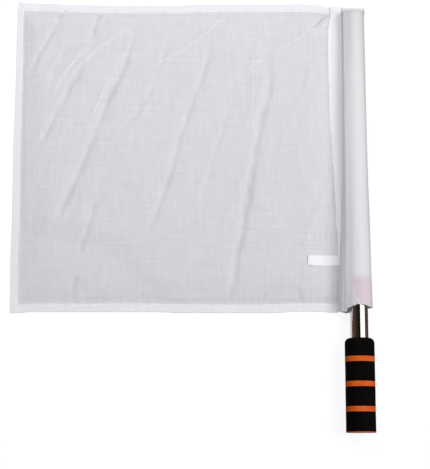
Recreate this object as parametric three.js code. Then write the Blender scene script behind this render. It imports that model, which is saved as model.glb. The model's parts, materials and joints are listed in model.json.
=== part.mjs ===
import * as THREE from 'three';

// Linesman flag lying flat on its back. X runs across the cloth to the right, Y up the pole
// and Z up from the table. Lengths in millimetres.
// Steel tube and its two end plugs
const tubeDiameter = 19;
const tubeWall = 0.8;
const plugFlange = 1.2;
const plugStem = 12;
const plugWall = 1.6;

// Laminated foam grip, counted from its rounded front shoulder back to the butt
const gripDiameter = 30.5;
const frontBlackLength = 18.9;
const blackLength = 19.8;
const orangeLength = 5.5;
const endSliceLength = 1.1;
const bandCount = 4;
const shoulderLength = 5.5;
const shoulderLip = 0.5;

// Adhesive tape round the tube, just inside the mouth of the sleeve
const tapeLength = 25.5;
const tapeInset = 1.6;
const tapeThickness = 0.4;

// Cloth panel and its turned hems
const exposedLength = 35;
const panelDrop = 6.6;
const clothHeight = 332;
const headStep = 4.7;
const flyReach = 361.5;
const clothThickness = 0.5;
const hemThickness = 1;
const endHemDepth = 8.9;
const flyHemDepth = 8;
const footHemDepth = 8.6;

// Loose sleeve round the tube: a snug top, a flared mouth, and the seam beside it
const sleeveSlack = 0.9;
const mouthFlare = 2.5;
const sleeveLean = 0.6;
const tailHollow = 0.2;
const seamOffset = 1.6;
const seamSweep = 9;
const mouthHemDepth = 7;
const mouthHemExtra = 0.4;
const mouthDroop = 9;
const droopShare = 0.73;
const closureLength = 8;
const closureHeight = 2.6;
const closureOverhang = 3.1;

// Seam flap and the blank label caught in the seam
const flapWidth = 15;
const flapThickness = 0.8;
const labelLength = 33;
const labelWidth = 10.4;
const labelThickness = 0.4;
const labelRise = 48.5;

// Soft folds in the panel
const foldHeight = 2;
const foldWidth = 11;
const calmHem = 14;
const calmSeam = 52;
const calmRamp = 26;

// Running gap between pieces that sit in or on each other
const fitGap = 0.3;
// Clearance between the tube's upper end and the cloth that closes over it
const endClearance = 0.6;

// Sides of the round pieces, set so that a flat side faces the table
const roundSides = 36;
const shoulderSteps = 6;
const sleeveSides = 40;
const sleeveSteps = 13;
const panelColumns = 30;
const panelRows = 18;
const flapSteps = 14;
const foldSteps = 10;
const hemSteps = 3;

// Each fold runs from one place by way of a second to a third, as shares of the panel's
// width from the fly and of its height from the foot. Its depth and width come last.
const foldShares = [
  [0.13, 0.96, 0.10, 0.89, 0.07, 0.80, 0.7, 0.8],
  [0.25, 0.97, 0.22, 0.90, 0.19, 0.82, 0.6, 0.8],
  [0.20, 0.78, 0.11, 0.62, 0.07, 0.48, 0.9, 0.9],
  [0.36, 0.90, 0.26, 0.60, 0.11, 0.22, 1.0, 1.0],
  [0.60, 0.90, 0.54, 0.68, 0.47, 0.44, 1.0, 1.1],
  [0.78, 0.82, 0.73, 0.44, 0.66, 0.06, 1.0, 1.0],
  [0.45, 0.40, 0.41, 0.26, 0.36, 0.10, 0.6, 1.2],
  [0.21, 0.24, 0.17, 0.15, 0.12, 0.06, 0.6, 1.2],
];

// Width of the flap up the sleeve: share of the way up, share of the full width
const flapWidthShares = [
  [0.17, 0.26],
  [0.20, 0.34],
  [0.30, 0.49],
  [0.41, 0.62],
  [0.52, 0.76],
  [0.63, 0.92],
  [0.82, 1.00],
  [1.00, 0.86],
];

// Lengths along the pole, from the butt of the grip
const tubeRadius = tubeDiameter / 2;
const gripRadius = gripDiameter / 2;
const layerPitch = blackLength + orangeLength;
const gripLength = frontBlackLength + (bandCount - 1) * layerPitch + endSliceLength;
const mouthY = gripLength + exposedLength;
const footY = mouthY - panelDrop;
const headY = footY + clothHeight;
const sleeveTopY = headY - headStep;
const sleeveLength = sleeveTopY - mouthY;
const closureY = sleeveTopY - closureLength;
const poleLength = closureY - endClearance;

// Reach of the sleeve and of its seam from the pole's axis
const sleeveTopRadius = tubeRadius + fitGap + clothThickness + sleeveSlack;
const sleeveMouthRadius = sleeveTopRadius + mouthFlare;
const seamReach = tubeRadius + seamOffset;
const mouthThickness = clothThickness + mouthHemExtra;
const tailRadius = mouthThickness + tailHollow;
const droopReach = sleeveMouthRadius * droopShare;

// The pole leans by the angle at which the shoulder of the grip stands on the table while
// the tube's upper end lies on the cloth below it
const sideShare = Math.cos(Math.PI / roundSides);
const gripRise = gripRadius * sideShare;
const tubeRise = tubeRadius * sideShare;
const shoulderY = gripLength - shoulderLength;
const bearing = poleLength - shoulderY;
const drop = gripRise - tubeRise;
const underTube = clothThickness + fitGap;
const poleLean = Math.atan2(drop, bearing) - Math.asin(underTube / Math.hypot(drop, bearing));
const buttHeight = shoulderY * Math.sin(poleLean) + gripRise * Math.cos(poleLean);
const axisHeight = (y) => buttHeight - y * Math.tan(poleLean);

// Colours, as drawn from the finished object
const steel = new THREE.MeshStandardMaterial({ color: 0xb9bcc0, roughness: 0.12, metalness: 1 });
const blackFoam = new THREE.MeshStandardMaterial({ color: 0x0d0c0b, roughness: 0.9, metalness: 0 });
const orangeFoam = new THREE.MeshStandardMaterial({ color: 0xdd5b1e, roughness: 0.8, metalness: 0 });
const plugPlastic = new THREE.MeshStandardMaterial({ color: 0x1a1a1b, roughness: 0.5, metalness: 0 });
const redTape = new THREE.MeshStandardMaterial({ color: 0xc8283c, roughness: 0.5, metalness: 0 });
const whiteCloth = new THREE.MeshStandardMaterial({ color: 0xdcdbe0, roughness: 0.9, metalness: 0 });
const hemCloth = new THREE.MeshStandardMaterial({ color: 0xeeedf1, roughness: 0.9, metalness: 0 });
const labelTape = new THREE.MeshStandardMaterial({ color: 0xf4f3f7, roughness: 0.7, metalness: 0 });

const smooth = (t) => THREE.MathUtils.smoothstep(t, 0, 1);

function named(name, geometry, material) {
  const mesh = new THREE.Mesh(geometry, material);
  mesh.name = name;
  return mesh;
}

// A solid from a list of corner points and triangles
function solidFrom(points, triangles) {
  const geometry = new THREE.BufferGeometry();
  geometry.setAttribute('position', new THREE.Float32BufferAttribute(points.flat(), 3));
  geometry.setIndex(triangles.flat());
  geometry.computeVertexNormals();
  return geometry;
}

// Turned piece about the pole's axis, from a closed outline of radius and length
function turned(outline) {
  const points = outline.map(([radius, y]) => new THREE.Vector2(radius, y));
  return new THREE.LatheGeometry(points, roundSides, Math.PI / roundSides);
}

function ring(inner, outer, low, high) {
  return turned([[inner, low], [outer, low], [outer, high], [inner, high], [inner, low]]);
}

// Steel tube, open at both ends behind its plugs
function poleTube() {
  return ring(tubeRadius - tubeWall, tubeRadius, plugFlange, poleLength - plugFlange);
}

// Moulded plug: a flange as wide as the tube and a hollow stem that fits its bore
function tubePlug() {
  const stem = tubeRadius - tubeWall - fitGap;
  const bore = stem - plugWall;
  return turned([
    [0, 0],
    [tubeRadius, 0],
    [tubeRadius, plugFlange],
    [stem, plugFlange],
    [stem, plugFlange + plugStem],
    [bore, plugFlange + plugStem],
    [bore, plugFlange + plugWall],
    [0, plugFlange + plugWall],
  ]);
}

// Front layer of the grip, with the rounded shoulder that runs down to the tube
function shoulderLayer(low, high) {
  const bore = tubeRadius + fitGap;
  const reach = gripRadius - bore - shoulderLip;
  const outline = [[bore, low], [gripRadius, low]];
  for (let step = 0; step <= shoulderSteps; step += 1) {
    const turn = (step / shoulderSteps) * (Math.PI / 2);
    const radius = gripRadius - reach + reach * Math.cos(turn);
    outline.push([radius, high - shoulderLength + shoulderLength * Math.sin(turn)]);
  }
  outline.push([bore, high], [bore, low]);
  return turned(outline);
}

// Layers of foam, bonded face to face from the front shoulder back to the butt
function gripLayers() {
  const layers = [];
  const bore = tubeRadius + fitGap;
  let high = gripLength;
  for (let band = 1; band <= bandCount; band += 1) {
    const front = band === 1;
    const last = band === bandCount;
    const join = high - (front ? frontBlackLength : blackLength);
    const low = last ? 0 : join - orangeLength;
    const black = front ? shoulderLayer(join, high) : ring(bore, gripRadius, join, high);
    layers.push(named(`grip_black_${band}`, black, blackFoam));
    layers.push(named(`grip_orange_${band}`, ring(bore, gripRadius, low, join), orangeFoam));
    high = low;
  }
  return layers;
}

// Band of red tape on the tube under the sleeve
function tapeBand() {
  const inner = tubeRadius + fitGap;
  const low = mouthY + tapeInset;
  return ring(inner, inner + tapeThickness, low, low + tapeLength);
}

// Everything on the pole, turned to the pole's lean
function pole() {
  const group = new THREE.Group();
  const endPlug = named('tube_end_plug', tubePlug(), plugPlastic);
  const topPlug = named('tube_top_plug', tubePlug(), plugPlastic);
  topPlug.rotation.z = Math.PI;
  topPlug.position.y = poleLength;
  group.add(named('pole_tube', poleTube(), steel), endPlug, topPlug);
  group.add(...gripLayers(), named('tape_band', tapeBand(), redTape));
  group.rotation.x = -poleLean;
  group.position.z = buttHeight;
  return group;
}

// How far up the sleeve a place is, from 0 at the mouth to 1 at the top
const upSleeve = (y) => THREE.MathUtils.clamp((y - mouthY) / sleeveLength, 0, 1);
const seamX = (y) => -seamReach - seamSweep * (1 - upSleeve(y)) ** 3;
const panelEdgeX = (y) => seamX(y) - tailRadius - fitGap;

// Outline of the sleeve at one place: the hull of a large circle that hangs over the tube
// and a small one at the seam, with whatever would pass below the table laid flat on it
function sleeveOutline(body, tail, inset) {
  const outline = [];
  for (let side = 0; side < sleeveSides; side += 1) {
    const turn = ((side + 0.5) / sleeveSides) * 2 * Math.PI;
    const across = Math.cos(turn);
    const up = Math.sin(turn);
    const bodyReach = body.x * across + body.z * up + body.radius;
    const tailReach = tail.x * across + tail.z * up + tail.radius;
    const circle = bodyReach > tailReach ? body : tail;
    const radius = circle.radius - inset;
    outline.push({ x: circle.x + radius * across, z: Math.max(circle.z + radius * up, inset) });
  }
  return outline;
}

// Circles of the hanging part of the sleeve at a height up the pole
function hangingCircles(y) {
  const up = upSleeve(y);
  const flare = (1 - up) ** 2;
  const radius = sleeveTopRadius + (sleeveMouthRadius - sleeveTopRadius) * flare;
  const overTape = tapeThickness + fitGap + mouthHemExtra;
  const rest = tubeRadius + fitGap + overTape * (1 - up) + clothThickness;
  return {
    body: { x: sleeveLean, z: axisHeight(y) + rest - radius, radius },
    tail: { x: seamX(y), z: tailRadius, radius: tailRadius },
  };
}

// Circles of the sleeve's sewn end, where its two layers lie on each other
function closedCircles() {
  const radius = closureHeight / 2;
  return {
    body: { x: tubeRadius + closureOverhang - radius, z: radius, radius },
    tail: { x: seamX(sleeveTopY), z: tailRadius, radius: tailRadius },
  };
}

// The mouth's lower rim starts level with the panel's foot at the seam, hangs lowest between
// there and the tube, and comes back under the tube
function droopAt(point) {
  const fromSeam = smooth((point.x - seamX(mouthY)) / (-droopReach - seamX(mouthY)));
  const beyond = smooth((point.x + droopReach) / (droopReach + sleeveMouthRadius));
  const hang = (panelDrop + (mouthDroop - panelDrop) * fromSeam) * (1 - beyond);
  return hang * (1 - smooth(point.z / sleeveMouthRadius));
}

// Sleeve as one shell: the outside up to the sewn end, and the inside back to the mouth
function poleSleeve() {
  const hemY = mouthY + mouthHemDepth;
  const outside = [];
  const inside = [];
  const addRing = (list, y, circles, inset, droops) => {
    const outline = sleeveOutline(circles.body, circles.tail, inset);
    list.push(outline.map((point) => [point.x, y - (droops ? droopAt(point) : 0), point.z]));
  };
  addRing(outside, mouthY, hangingCircles(mouthY), 0, true);
  addRing(inside, mouthY, hangingCircles(mouthY), mouthThickness, true);
  addRing(inside, hemY, hangingCircles(hemY), mouthThickness, false);
  for (let step = 0; step <= sleeveSteps; step += 1) {
    const y = hemY + (closureY - hemY) * (step / sleeveSteps);
    addRing(outside, y, hangingCircles(y), 0, false);
    const inner = step === 0 ? y + clothThickness : y;
    addRing(inside, inner, hangingCircles(inner), clothThickness, false);
  }
  addRing(outside, sleeveTopY, closedCircles(), 0, false);
  return shellFrom(outside, inside);
}

// Closed shell from rings of the outside and of the inside, both listed up from the mouth
function shellFrom(outside, inside) {
  const rings = [...[...inside].reverse(), ...outside];
  const points = rings.flat();
  const sides = rings[0].length;
  const triangles = [];
  for (let row = 0; row < rings.length - 1; row += 1) {
    for (let side = 0; side < sides; side += 1) {
      const next = (side + 1) % sides;
      const low = row * sides;
      const high = low + sides;
      triangles.push([low + side, high + side, high + next], [low + side, high + next, low + next]);
    }
  }
  const last = (rings.length - 1) * sides;
  for (let side = 1; side < sides - 1; side += 1) {
    triangles.push([0, side, side + 1]);
    triangles.push([last, last + side + 1, last + side]);
  }
  return solidFrom(points, triangles);
}

// A sheet of even thickness over a grid; place gives the underside for shares across and up
function sheet(columns, rows, thickness, place) {
  const points = [];
  const triangles = [];
  const layer = (columns + 1) * (rows + 1);
  for (const lift of [0, thickness]) {
    for (let row = 0; row <= rows; row += 1) {
      for (let column = 0; column <= columns; column += 1) {
        const [x, y, z] = place(column / columns, row / rows);
        points.push([x, y, z + lift]);
      }
    }
  }
  const at = (column, row) => row * (columns + 1) + column;
  const quad = (a, b, c, d) => triangles.push([a, b, c], [a, c, d]);
  for (let row = 0; row < rows; row += 1) {
    for (let column = 0; column < columns; column += 1) {
      const a = at(column, row);
      const b = at(column + 1, row);
      const c = at(column + 1, row + 1);
      const d = at(column, row + 1);
      quad(a, d, c, b);
      quad(layer + a, layer + b, layer + c, layer + d);
    }
  }
  const wall = (a, b) => quad(a, b, layer + b, layer + a);
  for (let column = 0; column < columns; column += 1) {
    wall(at(column, 0), at(column + 1, 0));
    wall(at(column + 1, rows), at(column, rows));
  }
  for (let row = 0; row < rows; row += 1) {
    wall(at(0, row + 1), at(0, row));
    wall(at(columns, row), at(columns, row + 1));
  }
  return solidFrom(points, triangles);
}

// Panel between its hems
const panelLeft = -flyReach + flyHemDepth;
const panelLow = footY + footHemDepth;
const panelHigh = headY - endHemDepth;

// Centre lines of the folds, in the plane of the table
const folds = foldShares.map((fold) => {
  const places = [0, 2, 4].map((at) => {
    const y = footY + fold[at + 1] * clothHeight;
    return new THREE.Vector2(-flyReach + fold[at] * (flyReach + panelEdgeX(y)), y);
  });
  return {
    line: new THREE.QuadraticBezierCurve(...places).getPoints(foldSteps),
    depth: fold[6] * foldHeight,
    width: fold[7] * foldWidth,
  };
});

// Height of the cloth over the table: it floats between the hems and dips along its folds
function foldLift(x, y) {
  const fromHem = Math.min(x - panelLeft, y - panelLow, panelHigh - y) / calmHem;
  const fromSeam = (panelEdgeX(y) - x - calmSeam) / calmRamp;
  const calm = smooth(fromHem) * smooth(fromSeam);
  const here = new THREE.Vector2(x, y);
  let dip = 0;
  for (const fold of folds) {
    const distance = Math.min(...fold.line.map((point) => point.distanceTo(here)));
    dip = Math.max(dip, fold.depth * Math.exp(-((distance / fold.width) ** 2)));
  }
  return (foldHeight - dip) * calm;
}

function flagPanel() {
  return sheet(panelColumns, panelRows, clothThickness, (across, up) => {
    const y = panelLow + (panelHigh - panelLow) * up;
    const x = panelLeft + (panelEdgeX(y) - panelLeft) * across;
    return [x, y, foldLift(x, y)];
  });
}

// Hem: a strip folded over on itself, round along its folded edge, laid along +X
function hemStrip(length, depth) {
  const radius = hemThickness / 2;
  const section = new THREE.Shape();
  section.moveTo(0, 0);
  section.lineTo(depth - radius, 0);
  section.absarc(depth - radius, radius, radius, -Math.PI / 2, Math.PI / 2, false);
  section.lineTo(0, hemThickness);
  section.closePath();
  const options = { depth: length, bevelEnabled: false, curveSegments: hemSteps };
  const strip = new THREE.ExtrudeGeometry(section, options);
  // The section's depth goes to +Y, its height to +Z and the length to +X
  const axes = new THREE.Matrix4().makeBasis(
    new THREE.Vector3(0, 1, 0),
    new THREE.Vector3(0, 0, 1),
    new THREE.Vector3(1, 0, 0),
  );
  return strip.applyMatrix4(axes);
}

function hems() {
  const top = named('top_hem', hemStrip(flyReach + panelEdgeX(panelHigh), endHemDepth), hemCloth);
  top.position.set(-flyReach, panelHigh, 0);
  const bottom = named('bottom_hem', hemStrip(flyReach + panelEdgeX(footY), footHemDepth), hemCloth);
  bottom.rotation.z = Math.PI;
  bottom.position.set(panelEdgeX(footY), panelLow, 0);
  const fly = named('fly_hem', hemStrip(panelHigh - panelLow, flyHemDepth), hemCloth);
  fly.rotation.z = Math.PI / 2;
  fly.position.set(panelLeft, panelLow, 0);
  return [top, bottom, fly];
}

// Share of the full flap width at a share of the way up the sleeve
function flapShare(up) {
  const above = flapWidthShares.findIndex(([place]) => place >= up);
  const [highPlace, highWidth] = flapWidthShares[above];
  if (above === 0) return highWidth;
  const [lowPlace, lowWidth] = flapWidthShares[above - 1];
  return lowWidth + ((highWidth - lowWidth) * (up - lowPlace)) / (highPlace - lowPlace);
}

// Turned edge of the sleeve, laid flat on the panel beside the seam
function seamFlap() {
  const low = mouthY + labelRise + labelWidth / 2 + fitGap;
  return sheet(1, flapSteps, flapThickness, (across, up) => {
    const y = low + (panelHigh - low) * up;
    const width = flapWidth * flapShare(upSleeve(y));
    return [panelEdgeX(y) - width * (1 - across), y, clothThickness];
  });
}

// Blank woven label, its root caught in the seam
function clothLabel() {
  const low = mouthY + labelRise - labelWidth / 2;
  return sheet(1, 1, labelThickness, (across, up) => {
    const y = low + labelWidth * up;
    return [panelEdgeX(y) - labelLength * (1 - across), y, clothThickness];
  });
}

function flag() {
  const group = new THREE.Group();
  group.add(named('flag_cloth', flagPanel(), whiteCloth), ...hems());
  group.add(named('pole_sleeve', poleSleeve(), whiteCloth));
  group.add(named('seam_flap', seamFlap(), hemCloth), named('cloth_label', clothLabel(), labelTape));
  return group;
}

// The whole flag, with its origin on the table under the middle of its outline
const linesmanFlag = new THREE.Group();
linesmanFlag.add(pole(), flag());
linesmanFlag.updateMatrixWorld(true);
const outlineBox = new THREE.Box3().setFromObject(linesmanFlag, true);
const middle = outlineBox.getCenter(new THREE.Vector3());
linesmanFlag.position.set(-middle.x, -middle.y, -outlineBox.min.z);

const report = (label, values) => console.log(label, values.map((value) => value.toFixed(6)).join(' '));
report('size', outlineBox.getSize(new THREE.Vector3()).toArray());
report('butt of the pole on its axis', [-middle.x, -middle.y, buttHeight - outlineBox.min.z]);
report('direction of the pole', [0, Math.cos(poleLean), -Math.sin(poleLean)]);
report('mouth, foot and head of the cloth', [mouthY, footY, headY].map((y) => y - middle.y));

export default linesmanFlag;
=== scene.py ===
# %% [markdown]
# # Dressing a linesman flag
# A linesman flag is a rectangle of thin white cloth with a sleeve sewn along one side. The
# sleeve hangs loosely round a polished steel tube, so that the cloth swings freely, and the
# tube ends in a grip of black foam with thin orange layers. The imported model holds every
# piece at its real size as a plain solid. This lesson loads those solids as a fixed frame
# and builds the surfaces that the eye sees round them: folds, hems, stitches and finishes.

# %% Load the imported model
import json
import math

import bmesh
import bpy
import numpy as np
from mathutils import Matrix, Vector, noise


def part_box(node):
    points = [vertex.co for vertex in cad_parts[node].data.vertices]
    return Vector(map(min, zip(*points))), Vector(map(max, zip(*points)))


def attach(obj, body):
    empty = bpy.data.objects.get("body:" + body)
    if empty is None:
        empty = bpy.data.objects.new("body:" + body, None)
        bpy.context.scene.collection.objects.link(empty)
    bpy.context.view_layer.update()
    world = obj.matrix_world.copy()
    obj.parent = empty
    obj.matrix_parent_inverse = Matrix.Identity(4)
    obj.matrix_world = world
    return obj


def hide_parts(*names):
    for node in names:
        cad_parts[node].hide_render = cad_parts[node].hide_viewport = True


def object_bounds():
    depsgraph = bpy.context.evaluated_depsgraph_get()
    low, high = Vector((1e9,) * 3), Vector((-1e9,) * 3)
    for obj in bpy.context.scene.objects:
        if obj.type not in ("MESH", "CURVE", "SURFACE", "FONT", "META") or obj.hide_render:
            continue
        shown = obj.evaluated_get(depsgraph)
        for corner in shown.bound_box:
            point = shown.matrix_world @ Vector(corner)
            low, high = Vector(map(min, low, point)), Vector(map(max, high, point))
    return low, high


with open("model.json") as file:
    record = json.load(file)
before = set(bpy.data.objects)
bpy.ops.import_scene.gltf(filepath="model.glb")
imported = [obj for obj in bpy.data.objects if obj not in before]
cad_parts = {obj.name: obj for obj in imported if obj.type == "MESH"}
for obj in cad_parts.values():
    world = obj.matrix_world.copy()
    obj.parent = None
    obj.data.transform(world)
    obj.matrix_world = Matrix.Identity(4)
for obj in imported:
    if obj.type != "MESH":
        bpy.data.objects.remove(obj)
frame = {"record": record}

MM = 0.001
model_low, model_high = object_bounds()
print("size in mm:", [round(side / MM, 1) for side in model_high - model_low])

# %% [markdown]
# Everything on the pole is round about one line, and that line isn't level: the foam grip is
# thicker than the tube, so a flag that lies down leans by less than a degree. The record
# states the butt of the grip and the direction there, which gives the pole three directions
# of its own: along it, across it, and up from it. A point of the pole is then a length, a
# radius and an angle, and nothing has to be turned afterwards.

# %% The pole's own directions
grip_end = next(mount for mount in frame["record"]["mounts"] if mount["name"] == "grip_end")
butt = Vector(grip_end["pos_m"])
along_pole = -Vector(grip_end["axis"]).normalized()
across_pole = Vector((1, 0, 0))
up_pole = across_pole.cross(along_pole)


def on_pole(radius, length, turn):
    """Point at a radius and a length from the butt; turn counts from straight up to +X."""
    out = up_pole * math.cos(turn) + across_pole * math.sin(turn)
    return butt + along_pole * length + out * radius


def axis_height(y):
    """Height of the pole's axis over the table at one place along the table."""
    return butt.z + (y - butt.y) * along_pole.z / along_pole.y


print("butt in mm:", [round(value / MM, 2) for value in butt])
print("lean in degrees:", round(math.degrees(math.asin(-along_pole.z)), 2))

# %% [markdown]
# The camera comes before any surface, because folds and stripes are judged through it. The
# flag seems to have been seen from almost straight above, a little from the side of the grip.
# How far away isn't known. The lens was picked by how the tube's two edges draw together,
# which is a weak cue, because little of the tube is bare. One short function puts an object
# into the scene, here and in the steps that follow.

# %% Camera
CAMERA_ELEVATION = math.radians(81.0)
CAMERA_LENS = 102.0
CAMERA_SENSOR = 36.0
IMAGE_LONG_SIDE = 469
SCALE_AT_TABLE = 1.05 * MM
AIM = Vector((24.95, -22.04, 0)) * MM


def in_scene(name, data):
    """A new object with its data, linked to the scene."""
    made = bpy.data.objects.new(name, data)
    bpy.context.scene.collection.objects.link(made)
    return made


camera_distance = CAMERA_LENS / CAMERA_SENSOR * IMAGE_LONG_SIDE * SCALE_AT_TABLE
camera_back = Vector((0, -math.cos(CAMERA_ELEVATION), math.sin(CAMERA_ELEVATION)))
camera_data = bpy.data.cameras.new("camera")
camera_data.lens = CAMERA_LENS
camera_data.sensor_width = CAMERA_SENSOR
camera = in_scene("camera", camera_data)
camera.location = AIM + camera_back * camera_distance
camera.rotation_euler = (math.pi / 2 - CAMERA_ELEVATION, 0, 0)
bpy.context.scene.camera = camera
print("camera distance in mm:", round(camera_distance / MM, 1))

# %% [markdown]
# Colours are written the way a paint chart or a screen shows them, as sRGB hex values.
# Blender mixes light in linear values, so one function turns the first into the second.
# Another adds a node, sets its values and links it, and the others stand on that one. The
# last makes a whole material whose colour and relief both follow one texture.

# %% Helpers for materials
# Numbers of a mix node's two colour inputs and of its colour output
MIX_FIRST, MIX_SECOND, MIX_COLOUR = 6, 7, 2


def linear(hex_colour):
    """sRGB hex colour as linear red, green, blue and an opaque alpha."""
    channels = [int(hex_colour[at:at + 2], 16) / 255 for at in (1, 3, 5)]
    return [c / 12.92 if c <= 0.04045 else ((c + 0.055) / 1.055) ** 2.4 for c in channels] + [1]


def add(tree, kind, values=None, links=None):
    """Adds a node; values and links are keyed by a setting, or by a socket's name or number."""
    node = tree.nodes.new(kind)
    for key, value in (values or {}).items():
        if isinstance(key, str) and hasattr(node, key):
            setattr(node, key, value)
        else:
            node.inputs[key].default_value = value
    for key, socket in (links or {}).items():
        tree.links.new(socket, node.inputs[key])
    return node


def new_tree(name):
    """An empty material and its node tree."""
    material = bpy.data.materials.new(name)
    material.use_nodes = True
    material.node_tree.nodes.clear()
    return material, material.node_tree


def texture(tree, kind, values, stretch=None, out="Fac"):
    """Texture fixed to the object, and stretched if three scales are given."""
    where = add(tree, "ShaderNodeTexCoord").outputs["Object"]
    if stretch:
        where = add(tree, "ShaderNodeMapping", {"Scale": stretch}, {"Vector": where}).outputs[0]
    return add(tree, "ShaderNodeTex" + kind, values, {"Vector": where}).outputs[out]


def mapped(tree, value, limits):
    """A value taken from one range to another, each 0 to 1 where no limit is given."""
    return add(tree, "ShaderNodeMapRange", limits, {"Value": value}).outputs[0]


def reckoned(tree, operation, links, values=None):
    """Outcome of one sum, product or maximum, with its terms keyed by their numbers."""
    return add(tree, "ShaderNodeMath", {"operation": operation, **(values or {})}, links).outputs[0]


def blended(tree, share, dark_hex, light_hex):
    """Colour between two, by a share."""
    return add(tree, "ShaderNodeMix", {
        "data_type": "RGBA", MIX_FIRST: linear(dark_hex), MIX_SECOND: linear(light_hex)}, {
        0: share}).outputs[MIX_COLOUR]


def finish(tree, values, links, height, strength, distance):
    """Last nodes of a material: its shader, and a texture that raises its surface."""
    bump = add(tree, "ShaderNodeBump", {"Strength": strength, "Distance": distance}, {
        "Height": height})
    shader = add(tree, "ShaderNodeBsdfPrincipled", values, {**links, "Normal": bump.outputs[0]})
    add(tree, "ShaderNodeOutputMaterial", None, {"Surface": shader.outputs[0]})


def textured(name, kind, pattern, colours, values, strength, distance):
    """Material whose colour, between two, and whose relief both follow one texture."""
    material, tree = new_tree(name)
    height = texture(tree, kind, pattern)
    finish(tree, values, {"Base Color": blended(tree, height, *colours)}, height, strength, distance)
    return material


print("mid grey in linear light:", round(linear("#808080")[0], 3))

# %% [markdown]
# The picture is white all round the flag, yet the flanks of its pole are dark and brownish.
# It's taken that the flag lay on dark wood and was cut out against white afterwards. So the
# table is dark brown for light that bounces off it, and what the camera, a mirror or a glass
# sees of it is pale and glows enough to read as white, with the shadow kept where it is
# deepest. Two soft lamps light the flag. The key lamp stands to the right and shades every
# fold and the side of the pole; the other hangs over the head of the cloth. Where the real
# ones were isn't known: the places, sizes and powers, and the even light of the world, are
# those that came closest to the photo.

# %% Table, world and lamps
TABLE_RADIUS = 6.0
TABLE_SIDES = 96
TABLE_DROP = 0.2 * MM
TABLE_GLOW = 0.88
AMBIENT_LIGHT = 0.24
KEY_PLACE, KEY_SIDE, KEY_POWER = Vector((2.00, 0.30, 3.00)), 1.8, 67.5
TOP_PLACE, TOP_SIDE, TOP_POWER = Vector((-0.10, 0.50, 0.80)), 0.5, 3.0


def seen_by_camera(tree):
    """1 for what the camera sees, straight, in a mirror or through a glass, and 0 else."""
    ray = add(tree, "ShaderNodeLightPath")
    mirrored = reckoned(tree, "MAXIMUM", {
        0: ray.outputs["Is Camera Ray"], 1: ray.outputs["Is Glossy Ray"]})
    return reckoned(tree, "MAXIMUM", {0: mirrored, 1: ray.outputs["Is Transmission Ray"]})


table_mesh = bpy.data.meshes.new("table")
table_form = bmesh.new()
bmesh.ops.create_circle(table_form, cap_ends=True, radius=TABLE_RADIUS, segments=TABLE_SIDES)
table_form.to_mesh(table_mesh)
table_form.free()
table = in_scene("table", table_mesh)
table.location.z = -TABLE_DROP

table_paint, tree = new_tree("table_cut_out_to_white")
seen = seen_by_camera(tree)
matt = add(tree, "ShaderNodeBsdfDiffuse", None, {
    "Color": blended(tree, seen, "#4A3A30", "#737373")})
own_light = add(tree, "ShaderNodeEmission", None, {
    "Strength": reckoned(tree, "MULTIPLY", {0: seen}, {1: TABLE_GLOW})})
both = add(tree, "ShaderNodeAddShader", None, {0: matt.outputs[0], 1: own_light.outputs[0]})
add(tree, "ShaderNodeOutputMaterial", None, {"Surface": both.outputs[0]})
table_mesh.materials.append(table_paint)

world = bpy.data.worlds.new("white_studio")
world.use_nodes = True
tree = world.node_tree
tree.nodes.clear()
white = add(tree, "ShaderNodeBackground", {"Color": linear("#FFFFFF")}, {
    "Strength": mapped(tree, seen_by_camera(tree), {"To Min": AMBIENT_LIGHT, "To Max": 1.0})})
add(tree, "ShaderNodeOutputWorld", None, {"Surface": white.outputs[0]})
bpy.context.scene.world = world
bpy.context.scene.view_settings.view_transform = "Standard"


def soft_lamp(name, place, side, power):
    """Square soft lamp that points at the middle of the table; mirrors don't see it."""
    data = bpy.data.lights.new(name, "AREA")
    data.size, data.energy = side, power
    lamp = in_scene(name, data)
    lamp.location = place
    lamp.rotation_euler = (-place).to_track_quat("-Z", "Y").to_euler()
    lamp.visible_glossy = False


soft_lamp("key_lamp", KEY_PLACE, KEY_SIDE, KEY_POWER)
soft_lamp("top_lamp", TOP_PLACE, TOP_SIDE, TOP_POWER)
print("key lamp", round(KEY_PLACE.length, 1), "m away, top lamp", round(TOP_PLACE.length, 1))

# %% [markdown]
# A polished tube has no colour of its own: it shows the room. In a white room it turns
# almost invisible, so a photographer stands black and white cards round it, and each one
# draws a stripe along the tube. The same is done here, with curved cards about the pole's
# own axis. Their edges and shades are those that brought the stripes nearest to the photo's.
# Only mirrors see them: they are hidden from the camera, cast no shadow, and give no light
# to the cloth.

# %% Cards that the tube reflects
CARD_RADIUS = 0.45
CARD_STEPS = 24
CARD_OVERHANG = 0.6
CARD_HALF_LENGTH = 0.5
CARD_LIFT = 0.3 * MM


def card(name, points, hex_colour, strength=1.0):
    """Card that only mirrors see, through points that lie in pairs along its two ends."""
    mesh = bpy.data.meshes.new(name)
    faces = [(at, at + 1, at + 3, at + 2) for at in range(0, len(points) - 2, 2)]
    mesh.from_pydata(points, [], faces)
    paint, tree = new_tree(name)
    own = add(tree, "ShaderNodeEmission", {"Color": linear(hex_colour), "Strength": strength})
    add(tree, "ShaderNodeOutputMaterial", None, {"Surface": own.outputs[0]})
    mesh.materials.append(paint)
    made = in_scene(name, mesh)
    for ray in ("camera", "diffuse", "transmission", "volume_scatter", "shadow"):
        setattr(made, "visible_" + ray, False)


def round_pole(start, end):
    """Points of a curved card about the pole, in degrees from straight up to +X."""
    turns = [math.radians(start + (end - start) * at / CARD_STEPS) for at in range(CARD_STEPS + 1)]
    ends = (-CARD_OVERHANG, CARD_OVERHANG + (model_high - model_low).y)
    return [on_pole(CARD_RADIUS, length, turn) for turn in turns for length in ends]


def on_table(near, far):
    """Points of a flat card on the table, from one distance right of the pole to another."""
    return [(butt.x + away, y, CARD_LIFT)
            for away in (near, far) for y in (-CARD_HALF_LENGTH, CARD_HALF_LENGTH)]


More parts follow.
